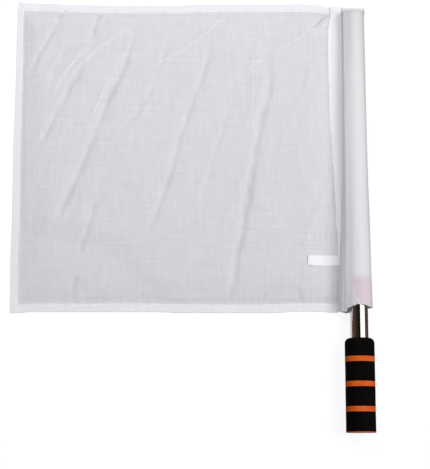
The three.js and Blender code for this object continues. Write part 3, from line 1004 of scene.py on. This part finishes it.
def panel_tint_and_painted_shade(x, y, height):
    """Tint of the cloth: greyer on the table, painted shade in a groove, painted highlight on a
    ridge.
    """
    whiter = np.ones(x.shape)
    for line, depth, _, _ in crease_lines:
        away, part, _ = line_distance(x, y, line)
        change = CREASE_PAINTED_HIGHLIGHT if depth < 0 else -GROOVE_PAINTED_SHADE
        whiter = whiter * (1 + change * np.exp(-(away / CREASE_PAINT_WIDTH) ** 2) * faded(part))
    off_hems = np.minimum(1, floating(x, y)[0] * GREY_OFF_HEMS)
    touching = (1 - smooth(height / CONTACT_HEIGHT)) * off_hems
    return (1 - CONTACT_SEE_THROUGH_AND_SHADE * touching) * whiter


def store_tint_and_painted_shade(dressed, tints):
    """Stores at each point of a cloth its tint: what is behind it, painted shade and highlights."""
    attribute = dressed.data.attributes.new(CLOTH_TINT_AND_SHADE, "FLOAT_COLOR", "POINT")
    opaque = np.concatenate([tints, np.ones((len(tints), 1))], axis=1)
    attribute.data.foreach_set("color", opaque.astype(np.float32).ravel())


def resting(x, y):
    """Height of the cloth's underside with the lift of the seam."""
    return relief(x, y) + seam_lift(x, y)


print(len(valley_lines), "valleys and", len(crease_lines), "creases")

# %% [markdown]
# The panel is a sheet 0.3 mm thick on a grid of 1.5 mm. That is fine enough for the valleys
# and too coarse for a crease, so the grid is split again beside the creases. The heights
# are set last, so that the split cloth follows the same shape as the rest.

# %% Panel
CLOTH_THICKNESS = 0.3 * MM
PANEL_STEP = 1.5 * MM
TUCK = 3.5 * MM
FINE_REACH = 4 * MM
FINE_CUTS = 2


def sheet_skin(rows, thickness):
    """Closed skin of a thin sheet from rows of points on its upper face."""
    rows = np.asarray(rows, float)
    under = rows - np.array([0, 0, thickness])
    rings = np.concatenate([rows, under[:, ::-1]], axis=1)
    middle = (rows + under) / 2
    first = np.concatenate([middle[0], middle[0][::-1]])
    last = np.concatenate([middle[-1], middle[-1][::-1]])
    return skin(np.concatenate([first[None], rings, last[None]]), around=True, ends=False)


columns = round(cloth_width / PANEL_STEP)
rows = round(cloth_height / PANEL_STEP)
left_share = (HEM_DEPTH["fly"] - TUCK) / cloth_width
low_share = (HEM_DEPTH["foot"] - TUCK) / cloth_height
high_share = 1 - (HEM_DEPTH["head"] - TUCK) / cloth_height
right_share = 1 + UNDER_TAIL / cloth_width
u, v = np.meshgrid(np.linspace(left_share, right_share, columns),
                   np.linspace(low_share, high_share, rows))
x, y = cloth_xy(u, v)
flat_rows = np.stack([x, y, np.full(x.shape, CLOTH_THICKNESS)], axis=2)
panel = piece("cloth_panel", sheet_skin(flat_rows, CLOTH_THICKNESS), panel_weave, "flag",
              ["flag_cloth"])

form = bmesh.new()
form.from_mesh(panel.data)
x, y, _ = places_of(form.verts).T
near = np.full(len(x), np.inf)
for line, *_ in crease_lines:
    near = np.minimum(near, line_distance(x, y, line)[0])
form.verts.index_update()
beside = [edge for edge in form.edges if all(near[end.index] < FINE_REACH for end in edge.verts)]
bmesh.ops.subdivide_edges(form, edges=beside, cuts=FINE_CUTS, use_grid_fill=True)
x, y, _ = places_of(form.verts).T
heights = relief(x, y)
for vertex, height in zip(form.verts, heights + seam_lift(x, y)):
    vertex.co.z += height
form.to_mesh(panel.data)
form.free()
panel.data.update()
# Painted shade in the groove and where the panel lies on the table, painted highlights on raised
# creases
tints = panel_tint_and_painted_shade(x, y, heights)
store_tint_and_painted_shade(panel, np.repeat(tints[:, None], 3, axis=1))
print("panel:", len(panel.data.polygons), "faces,", len(beside), "edges split beside creases")

# %% [markdown]
# A hem is the edge of the cloth turned over twice and stitched near its inner fold, so it
# has a section: a firm rim along the outer fold, a flat middle, a groove at the stitches,
# and a small free lip beyond them. The section is carried along each edge. Sewing gathers
# the cloth a little between stitches, and no hem lies quite flat, so its height is varied
# along the edge. The fly hem lies over the ends of the other two.

# %% Hems
# Shares of the hem's depth from its outer fold, with heights in millimetres
HEM_SECTION = [(1.00, 0.0), (0.55, 0.0), (0.06, 0.0), (0.01, 0.08), (0.00, 0.25), (0.00, 0.60),
               (0.012, 0.76), (0.04, 0.84), (0.08, 0.86), (0.15, 0.85), (0.36, 0.76),
               (0.56, 0.82), (0.72, 0.86), (0.80, 0.76),
               (0.84, 0.72), (0.88, 0.78), (0.94, 0.82), (0.98, 0.70), (1.00, 0.50)]
STITCH_SHARE = 0.84
STITCH_HEIGHT = 0.74
HEM_END = 0.8 * MM
HEM_STEP = 1.3 * MM
HEM_WAVE = 26 * MM
HEM_LIFT = 0.55 * MM
HEM_SEEDS = {"head": 0.0, "foot": 7.0, "fly": 14.0}
UNDERSIDE_LIFT = 0.3
PUCKER_WAVE = 4 * MM
PUCKER = 0.14
PUCKER_SEED = 5.0
CORNER_LIFT = 0.7 * MM
# Shares along the head where a crease runs out through the hem
HEAD_NICKS = [0.146, 0.268]
NICK_WIDTH = 1.7 * MM
NICK_DEPTH = 0.5
EDGE_LENGTH = {"head": cloth_width, "foot": cloth_width, "fly": cloth_height}


def along_edge(share_along, depth_share, edge):
    """Shares u and v of a place in a hem: along its edge, and inward from it."""
    depth = HEM_DEPTH[edge] * depth_share
    if edge == "head":
        return share_along, 1 - depth / cloth_height
    if edge == "foot":
        return share_along, depth / cloth_height
    return depth * (1 - FLY_TAPER * share_along) / cloth_width, share_along


def hem_points(shares_along, section, edge):
    """Rows of points in a hem: at each share along its edge, those of a section."""
    shares_along = np.asarray(shares_along)[:, None]
    depth_shares, heights = np.array(section).T
    length = EDGE_LENGTH[edge]
    place = shares_along * length
    lift = HEM_LIFT * np.maximum(0, noise_at(place / HEM_WAVE, HEM_SEEDS[edge], 0))
    full = 1 + PUCKER * noise_at(place / PUCKER_WAVE, HEM_SEEDS[edge], PUCKER_SEED)
    if edge == "fly":
        from_end = np.minimum(place, length - place)
        lift = lift + CORNER_LIFT * (1 - smooth(from_end / HEM_DEPTH["head"] - 1))
    if edge == "head":
        for nick in HEAD_NICKS:
            full = full * (1 - NICK_DEPTH * np.exp(-((place - nick * length) / NICK_WIDTH) ** 2))
    x, y = cloth_xy(*along_edge(shares_along, depth_shares, edge))
    lifted = UNDERSIDE_LIFT + (1 - UNDERSIDE_LIFT) * (heights > 0)
    z = heights * MM * full + lift * lifted + seam_lift(x, y)
    return np.stack([x, y, z], axis=2)


def hem(name, edge, node):
    """Turned and stitched edge of the cloth."""
    end = 1 if edge == "fly" else 1 + HEM_END / cloth_width
    rings = hem_points(np.linspace(0, end, round(EDGE_LENGTH[edge] / HEM_STEP)), HEM_SECTION, edge)
    return piece(name, skin(rings), hem_weave, "flag", [node])


head_hem = hem("head_hem", "head", "top_hem")
foot_hem = hem("foot_hem", "foot", "bottom_hem")
free_hem = hem("free_hem", "fly", "fly_hem")

# %% [markdown]
# The sleeve is the hardest form here. Its section changes all the way up: at the mouth it
# hangs from the top of the tube and falls away to a seam near the table, further up it is
# snug, and at the top its two layers are sewn flat on each other. Each section starts as
# the hull of three circles: a large one hanging on the tube, a small one at the seam, and a
# smaller one for the fold that the cloth keeps left of the tube, where its slope breaks off
# and drops to the seam. Whatever would pass through the table is laid flat on it. Then the
# outline is spaced evenly, so that point follows point from section to section.

# %% Sections of the sleeve
SLEEVE_SLACK = 0.9 * MM
MOUTH_FLARE = 2.5 * MM
SLEEVE_LEAN = 0.7 * MM
TAPE_ROOM = 1.1 * MM
LAYER = 0.5 * MM
FOLD_REACH = 12.0 * MM
FOLD_FLARE = 3.3 * MM
FOLD_RADIUS = 1.1 * MM
FOLD_RADIUS_FLARE = 3 * MM
FOLD_SLOPE = math.radians(31)
FOLD_SLOPE_FLARE = math.radians(8)
FLARE_POWER = 4
WALL_BULGE = 0.9 * MM
END_SHORTFALL = 0.6 * MM
CLOSURE_LENGTH = 8 * MM
CLOSURE_HEIGHT = 2.6 * MM
CLOSURE_OVERHANG = 3.1 * MM
SLEEVE_SIDES = 132
FINE_TURNS = 720

top_radius = tube_radius + SEAM_GAP + LAYER + SLEEVE_SLACK
sewn_end = sleeve_top - END_SHORTFALL
closure = sleeve_top - CLOSURE_LENGTH


def even_outline(*circles):
    """Hull of circles (x, z, radius) on the table, as evenly spaced points from the seam."""
    turn = math.pi - np.linspace(0, 2 * math.pi, FINE_TURNS, endpoint=False)
    across, up = np.cos(turn), np.sin(turn)
    circles = np.array(circles, float)
    reaches = circles[:, :1] * across + circles[:, 1:2] * up + circles[:, 2:]
    x, z, radius = circles[np.argmax(reaches, axis=0)].T
    line = np.stack([x + radius * across, np.maximum(z + radius * up, 0)], axis=1)
    line = np.vstack([line, line[:1]])
    done = run_length(line)
    even = np.linspace(0, done[-1], SLEEVE_SIDES, endpoint=False)
    return np.stack([np.interp(even, done, line[:, 0]), np.interp(even, done, line[:, 1])], axis=1)


def tail_circle(y):
    """Circle at the seam, where the two layers of the sleeve meet, on top of the panel."""
    x = float(seam_x(y))
    under = CLOTH_THICKNESS + TAIL_CLEARANCE + float(seam_lift(x, y))
    return x, TAIL_RADIUS + under, TAIL_RADIUS


def flare(y):
    """How much the sleeve flares, from 1 at its mouth to 0 at its top."""
    return (1 - float(up_sleeve(y))) ** FLARE_POWER


def fold_edge_x(y):
    """Left side of the fold that the sleeve keeps left of the tube."""
    return butt.x - FOLD_REACH - FOLD_FLARE * flare(y)


def hanging_outline(y):
    """Section of the sleeve where it hangs over the tube."""
    down = 1 - float(up_sleeve(y))
    radius = top_radius + MOUTH_FLARE * down ** 2
    rest = tube_radius + SEAM_GAP + TAPE_ROOM * down + LAYER
    x, z = butt.x + SLEEVE_LEAN * down ** 3, axis_height(y) + rest - radius
    fold_radius = FOLD_RADIUS + FOLD_RADIUS_FLARE * flare(y)
    fold_x = fold_edge_x(y) + fold_radius
    slope = FOLD_SLOPE + FOLD_SLOPE_FLARE * flare(y)
    fold_z = z + (radius - fold_radius - math.sin(slope) * (x - fold_x)) / math.cos(slope)
    return even_outline((x, z, radius), tail_circle(y), (fold_x, fold_z, fold_radius))


def closed_outline():
    """Section of the sewn end, where the two layers lie on each other."""
    radius = CLOSURE_HEIGHT / 2
    tail = tail_circle(sewn_end)
    return even_outline((butt.x + tube_radius + CLOSURE_OVERHANG - radius, tail[1], radius), tail)


print("sleeve in mm:", round((sleeve_top - mouth) / MM, 1), "long")

# %% [markdown]
# Wrinkles follow the pull in the cloth. Along the tube it is drawn up and down, so the
# wrinkles there are long and low. Near the mouth the cloth stands off the tube to the left,
# and a small sharp pinch marks where it does. The mouth itself is a turned hem. It rests on
# the tube and droops on both sides of it: least over the tube, more at the fold, and most in
# the lower layer, which reaches the foot of the cloth. At the far end the sewn hem makes a
# step, three layers high.

# %% Wrinkles and droop
WRINKLE = 0.55 * MM
WRINKLE_AROUND = 7 * MM
WRINKLE_ALONG = 70 * MM
WRINKLE_DIP = -0.2
WRINKLE_CALM = 0.5
OFF_TABLE = 3 * MM
BULGE_FACING = 3
TUBE_HANG = 1.0 * MM
FOLD_HANG = 3.0 * MM
WALL_STEP = 1.5 * MM
LOWER_HANG = 4.2 * MM
SEAM_HANG = 2.7 * MM
RIGHT_HANG = 2.4 * MM
HANG_FADE = 16 * MM
# Distance from the pole's axis at which a side starts to droop, and over which it goes on
LEFT_START, LEFT_RAMP = 2 * MM, 10 * MM
RIGHT_START, RIGHT_RAMP = 3 * MM, 9 * MM
LOW_RANGE = 14 * MM
SEAM_RAMP = 8 * MM
PINCH = 1.0 * MM
PINCH_PLACE = 1.9 * MM
PINCH_WIDTH = 0.7 * MM
PINCH_FALL = 1.6 * MM
PINCH_LENGTH = 9 * MM
PINCH_LEAN = 0.32
END_HEM = 1.3 * MM
END_HEM_RISE = 0.55 * MM
END_HEM_STEP = 0.8 * MM


def outward(outline):
    """Unit vectors that point out of a closed outline, at its points."""
    ahead = np.roll(outline, -1, axis=0) - np.roll(outline, 1, axis=0)
    normal = np.stack([-ahead[:, 1], ahead[:, 0]], axis=1)
    return normal / np.maximum(np.linalg.norm(normal, axis=1, keepdims=True), 1e-9)


def wrinkled(outline, y):
    """The outline with its long wrinkles, the pinch at the mouth and the step at the end."""
    x, z = outline[:, 0], outline[:, 1]
    waves = noise_at(x / WRINKLE_AROUND, y / WRINKLE_ALONG, z / WRINKLE_AROUND)
    off_table = smooth(z / OFF_TABLE)
    loose = off_table * (1 - WRINKLE_CALM * float(up_sleeve(y)))
    move = WRINKLE * np.maximum(waves, WRINKLE_DIP) * loose
    pinch_x = butt.x - PINCH_PLACE - PINCH_LEAN * (y - mouth)
    pinch_width = np.where(x < pinch_x, PINCH_WIDTH, PINCH_FALL)
    pinch = np.exp(-((x - pinch_x) / pinch_width) ** 2) * (z > axis_height(y))
    move = move + PINCH * pinch * float(smooth(1 - (y - mouth) / PINCH_LENGTH))
    step = float(smooth((y - closure + END_HEM) / END_HEM_STEP))
    move = move + END_HEM_RISE * step * off_table
    out = outward(outline)
    up_wall = np.clip((x - seam_x(y)) / (fold_edge_x(y) - seam_x(y)), 0, 1)
    facing_up = np.clip(out[:, 1] * BULGE_FACING, 0, 1)
    move = move + WALL_BULGE * flare(y) * 4 * up_wall * (1 - up_wall) * facing_up
    moved = outline + out * move[:, None]
    moved[:, 1] = np.maximum(moved[:, 1], 0)
    return moved


def droop(outline, y):
    """How far down the pole each point of a section hangs below its place."""
    x, z = outline[:, 0], outline[:, 1]
    wall = smooth((fold_edge_x(mouth) + WALL_STEP * 2 - x) / WALL_STEP)
    left = smooth((butt.x - LEFT_START - x) / LEFT_RAMP)
    right = smooth((x - butt.x - RIGHT_START) / RIGHT_RAMP)
    low = 1 - smooth((z - seam_lift(x, y)) / LOW_RANGE)
    from_seam = smooth((x - seam_x(mouth)) / SEAM_RAMP)
    under = SEAM_HANG + (LOWER_HANG - SEAM_HANG) * from_seam
    hang = TUBE_HANG + FOLD_HANG * left + RIGHT_HANG * right
    hang = hang + under * np.maximum(low, wall) * (1 - right)
    return hang * float(1 - smooth((y - mouth) / HANG_FADE))


print("the mouth droops by up to", round((TUBE_HANG + FOLD_HANG + LOWER_HANG) / MM, 1), "mm")

# %% [markdown]
# Now the sections are stacked. They stand close together where the form turns fast, at the
# mouth and at the sewn end, and a step apart between. The inside is the outside moved in by
# the cloth's thickness, over twice as much along the mouth's hem, and stops below the sewn
# end, so the sleeve is one closed shell with an open mouth. A shade is stored at each point
# for the red of the tape, strongest where the cloth lies closest to it and gone to the left
# of the pinch, where it stands off.

# %% Sleeve
SLEEVE_STEP = 2.5 * MM
MOUTH_STEP = 0.8 * MM
MOUTH_HEM = 6 * MM
MOUTH_HEM_LAYER = 0.75 * MM
END_REACH = 5 * MM
END_STEPS = 12
CLOSURE_STEPS = 14
CLOSURE_HOLD = 0.12
CLOSURE_FALL = 0.62
TAPE_TINT = (0.90, 0.72, 0.81)
SHADE_REACH = 3 * MM
SHADE_FEATHER = 7.0 * MM
STAND_OFF = 10 * MM
STAND_OFF_PLACE = 1.0 * MM
STAND_OFF_WIDTH = 5 * MM
STAND_OFF_LEAN = 0.19
# Share up the sleeve, then how much of its whiteness it keeps: a painted shade, darker towards the
# top
SLEEVE_TOP_PAINTED_SHADE = [(0, 1.0), (0.60, 1.0), (0.72, 0.985), (0.84, 0.955), (0.93, 0.92), (1, 0.88)]


def sleeve_ring(y, inset, top_share=0.0):
    """One section of the sleeve as points; top_share goes from hanging, 0, to sewn flat, 1."""
    outline = wrinkled(hanging_outline(min(y, closure)), y)
    if top_share > 0:
        outline = outline * (1 - top_share) + closed_outline() * top_share
    hang = droop(outline, y)
    if inset > 0:
        outline = outline - outward(outline) * inset
        outline[:, 1] = np.maximum(outline[:, 1], inset)
    return np.stack([outline[:, 0], y - hang, outline[:, 1]], axis=1)


steps = np.concatenate([
    np.arange(mouth, mouth + HANG_FADE, MOUTH_STEP),
    np.arange(mouth + HANG_FADE, closure - END_REACH, SLEEVE_STEP),
    np.linspace(closure - END_REACH, closure, END_STEPS)])
outside = [sleeve_ring(y, 0) for y in steps]
for step in range(1, CLOSURE_STEPS + 1):
    share = step / CLOSURE_STEPS
    top_share = float(smooth((share - CLOSURE_HOLD) / CLOSURE_FALL))
    outside.append(sleeve_ring(closure + (sewn_end - closure) * share, 0, top_share))
inside = []
for y in steps:
    hem_share = float(1 - smooth((y - mouth - MOUTH_HEM) / MOUTH_STEP))
    inside.append(sleeve_ring(y, CLOTH_THICKNESS + (MOUTH_HEM_LAYER - CLOTH_THICKNESS) * hem_share))
sleeve = piece("pole_sleeve_cloth", skin(inside[::-1] + outside), sleeve_weave, "flag",
               ["pole_sleeve"])

places = places_of(sleeve.data.vertices)
from_butt = places - np.array(butt)
lengths = from_butt @ np.array(along_pole)
distances = np.linalg.norm(from_butt - lengths[:, None] * np.array(along_pole), axis=1)
gaps = np.maximum(0, distances - tape_radius - TAPE_THICKNESS - CLOTH_THICKNESS)
stand_off_x = butt.x - STAND_OFF_PLACE - STAND_OFF_LEAN * (places[:, 1] - mouth)
gaps = gaps + STAND_OFF * smooth((stand_off_x - places[:, 0]) / STAND_OFF_WIDTH)
shades = np.exp(-gaps / SHADE_REACH) * smooth(0.5 + (tape_end - lengths) / SHADE_FEATHER)
tints = 1 - shades[:, None] * (1 - np.array(TAPE_TINT))
# The stored tint holds the tape's red and a painted shade towards the top of the sleeve
store_tint_and_painted_shade(sleeve, tints * read_table(SLEEVE_TOP_PAINTED_SHADE, up_sleeve(places[:, 1]))[:, None])
print("strongest shade of the tape:", round(float(shades.max()), 2))

# %% [markdown]
# Beside the seam lies the flap, the turned edge of the sleeve, folded to the left over the
# panel and stitched down. It is widest near the top, runs over the head hem there, and
# narrows to a few millimetres by the label. It is taken to be four layers of cloth, which
# makes it the whitest strip of all.

# %% Seam flap
FLAP_WIDTH = 15 * MM
FLAP_FOOT_SHARE = 0.172
FLAP_HEAD_SHARE = 1.0
FLAP_STEP = 3 * MM
FLAP_HEIGHT = 1.0 * MM
FLAP_UNEVEN = 0.15
FLAP_SEED = 21.0
HEAD_HEM_HEIGHT = 0.85 * MM
HEAD_HEM_RAMP = 2 * MM
# Place up the sleeve, then width as a share of the flap's full width
FLAP_WIDTHS = [(0.17, 0.16), (0.20, 0.20), (0.30, 0.40), (0.41, 0.58), (0.52, 0.76), (0.63, 0.92),
               (0.82, 1.00), (0.92, 0.98), (1.00, 0.78)]
# Share of the width from the left fold, with heights in shares of the flap's own height
FLAP_SECTION = [(1.00, 0.0), (0.50, 0.0), (0.06, 0.0), (0.01, 0.25), (0.00, 0.55), (0.03, 0.85),
                (0.10, 1.0), (0.17, 0.82), (0.26, 0.98), (0.55, 1.05), (0.80, 1.0), (0.93, 0.9),
                (1.00, 0.6)]


def flap_points(shares_up, section):
    """Rows of points in the flap: at each share up the cloth, those of a section."""
    shares_up = np.asarray(shares_up)[:, None]
    width_shares, heights = np.array(section).T
    width = FLAP_WIDTH * read_table(FLAP_WIDTHS, up_sleeve(foot + shares_up * cloth_height))
    x, y = cloth_xy(1 - width * (1 - width_shares) / cloth_width, shares_up)
    under_hem = (1 - shares_up) * cloth_height - HEM_DEPTH["head"]
    base = CLOTH_THICKNESS + HEAD_HEM_HEIGHT * (1 - smooth(under_hem / HEAD_HEM_RAMP))
    wave = noise_at(shares_up * cloth_height / HEM_WAVE, FLAP_SEED, 0)
    height = heights * FLAP_HEIGHT * (1 + FLAP_UNEVEN * wave)
    return np.stack([x, y, resting(x, y) + base + height], axis=2)


flap_shares = np.linspace(FLAP_FOOT_SHARE, FLAP_HEAD_SHARE, round(cloth_height / FLAP_STEP))
flap = piece("seam_flap_cloth", skin(flap_points(flap_shares, FLAP_SECTION)), flap_weave, "flag",
             ["seam_flap"])

# %% [markdown]
# The label is a blank ribbon. Its root is caught in the seam and its free end lifts off the
# cloth by a millimetre and throws a thin shadow. Its long edges are woven selvedges, a
# touch thicker than the middle.

# %% Blank label
LABEL_LENGTH = 33 * MM
LABEL_WIDTH = 10.4 * MM
LABEL_RISE = 47.2 * MM
LABEL_DROP = 0.8 * MM
LABEL_THICKNESS = 0.35 * MM
LABEL_CURL = 1.0 * MM
# Share of the length that curls, and share of the curl's height at the edge near the mouth
CURL_SHARE, CURL_LOW_SIDE = 0.35, 0.4
SELVEDGE = 0.1 * MM
SELVEDGE_SLOPE, SELVEDGE_START = 20, 8.5
LABEL_COLUMNS = 34
LABEL_ROWS = 14

row, column = np.meshgrid(np.linspace(0, 1, LABEL_ROWS), np.linspace(0, 1, LABEL_COLUMNS),
                          indexing="ij")
y = mouth + LABEL_RISE + LABEL_WIDTH * (row - 0.5) + LABEL_DROP * (0.5 - column)
x = panel_edge_x(y) - LABEL_LENGTH * (1 - column)
curl = LABEL_CURL * smooth(1 - column / CURL_SHARE) * (CURL_LOW_SIDE + (1 - CURL_LOW_SIDE) * row)
selvedge = SELVEDGE * smooth(np.abs(row - 0.5) * SELVEDGE_SLOPE - SELVEDGE_START)
z = resting(x, y) + CLOTH_THICKNESS + LABEL_THICKNESS + curl + selvedge
label = piece("blank_label", sheet_skin(np.stack([x, y, z], axis=2), LABEL_THICKNESS),
              ribbon_satin, "flag", ["cloth_label"])

# %% [markdown]
# Stitches hold all this together: rows of lockstitch about eight to the inch, 3 mm each.
# One stitch is a short thread that comes up out of the cloth and goes back down into it, so
# it is highest and thickest in the middle. Each row is one piece.

# %% Stitches
STITCH_PITCH = 3.1 * MM
STITCH_LENGTH = 2.4 * MM
THREAD_RADIUS = 0.2 * MM
THREAD_TIP = 0.45
STITCH_RINGS = 6
THREAD_SIDES = 6
STITCH_DIP = 0.22 * MM
STITCH_SUNK = 0.6
HEM_ROW = np.linspace(0.004, 0.996, 400)
FLAP_ROW = np.linspace(0.30, 0.995, 200)
FLAP_GROOVE = (0.17, 0.84)
END_ROW_INSET = 1.2 * MM
END_ROW_OVERHANG = 2 * MM
END_ROW_POINTS = 40
ROW_FLOOR = 6 * MM


def stitch(centre):
    """Points and faces of one stitch, along a short run of points."""
    ahead = Vector(centre[-1] - centre[0]).normalized()
    side = ahead.cross(Vector((0, 0, 1))).normalized()
    up = side.cross(ahead)
    turns = [2 * math.pi * at / THREAD_SIDES for at in range(THREAD_SIDES)]
    rings = []
    for share, middle in zip(np.linspace(0, 1, STITCH_RINGS), centre):
        rise = math.sin(math.pi * share)
        radius = THREAD_RADIUS * (THREAD_TIP + (1 - THREAD_TIP) * rise)
        heart = Vector(middle) + up * (STITCH_DIP * (rise - STITCH_SUNK))
        rings.append([heart + (side * math.cos(turn) + up * math.sin(turn)) * radius
                      for turn in turns])
    return skin(rings)


def stitch_row(name, line):
    """Row of stitches along points that lie on a surface."""
    line = np.array(line, float)
    done = run_length(line)
    all_points, all_faces = [], []
    for start in np.arange(0, done[-1] - STITCH_LENGTH, STITCH_PITCH):
        places = start + STITCH_LENGTH * np.linspace(0, 1, STITCH_RINGS)
        centre = np.stack([np.interp(places, done, line[:, axis]) for axis in range(3)], axis=1)
        points, faces = stitch(centre)
        all_faces += [tuple(corner + len(all_points) for corner in face) for face in faces]
        all_points += list(points)
    return piece(name, (all_points, all_faces), spun_thread, "flag")


def hem_stitches(name, edge):
    """Row of stitches in the groove near the inner fold of a hem."""
    return stitch_row(name, hem_points(HEM_ROW, [(STITCH_SHARE, STITCH_HEIGHT)], edge)[:, 0])


flap_line = flap_points(FLAP_ROW, [FLAP_GROOVE])[:, 0]
end_line = [(x, sewn_end - END_ROW_INSET, tail_circle(sewn_end)[1] + CLOSURE_HEIGHT / 2)
            for x in np.linspace(butt.x - SEAM_REACH, butt.x + tube_radius + END_ROW_OVERHANG,
                                 END_ROW_POINTS)]
mouth_ring = sleeve_ring(mouth + MOUTH_HEM, 0)
# The row runs from the seam over the tube and stops low on the far side
past_top = int(np.argmax(mouth_ring[:, 2]))
low_again = past_top + int(np.argmax(mouth_ring[past_top:, 2] < ROW_FLOOR))
mouth_line = mouth_ring[:low_again]
rows_of_stitches = [
    hem_stitches("head_stitches", "head"),
    hem_stitches("foot_stitches", "foot"),
    hem_stitches("fly_stitches", "fly"),
    stitch_row("flap_stitches", flap_line),
    stitch_row("sleeve_end_stitches", end_line),
    stitch_row("mouth_stitches", mouth_line),
]
print(len(rows_of_stitches), "rows of stitches")
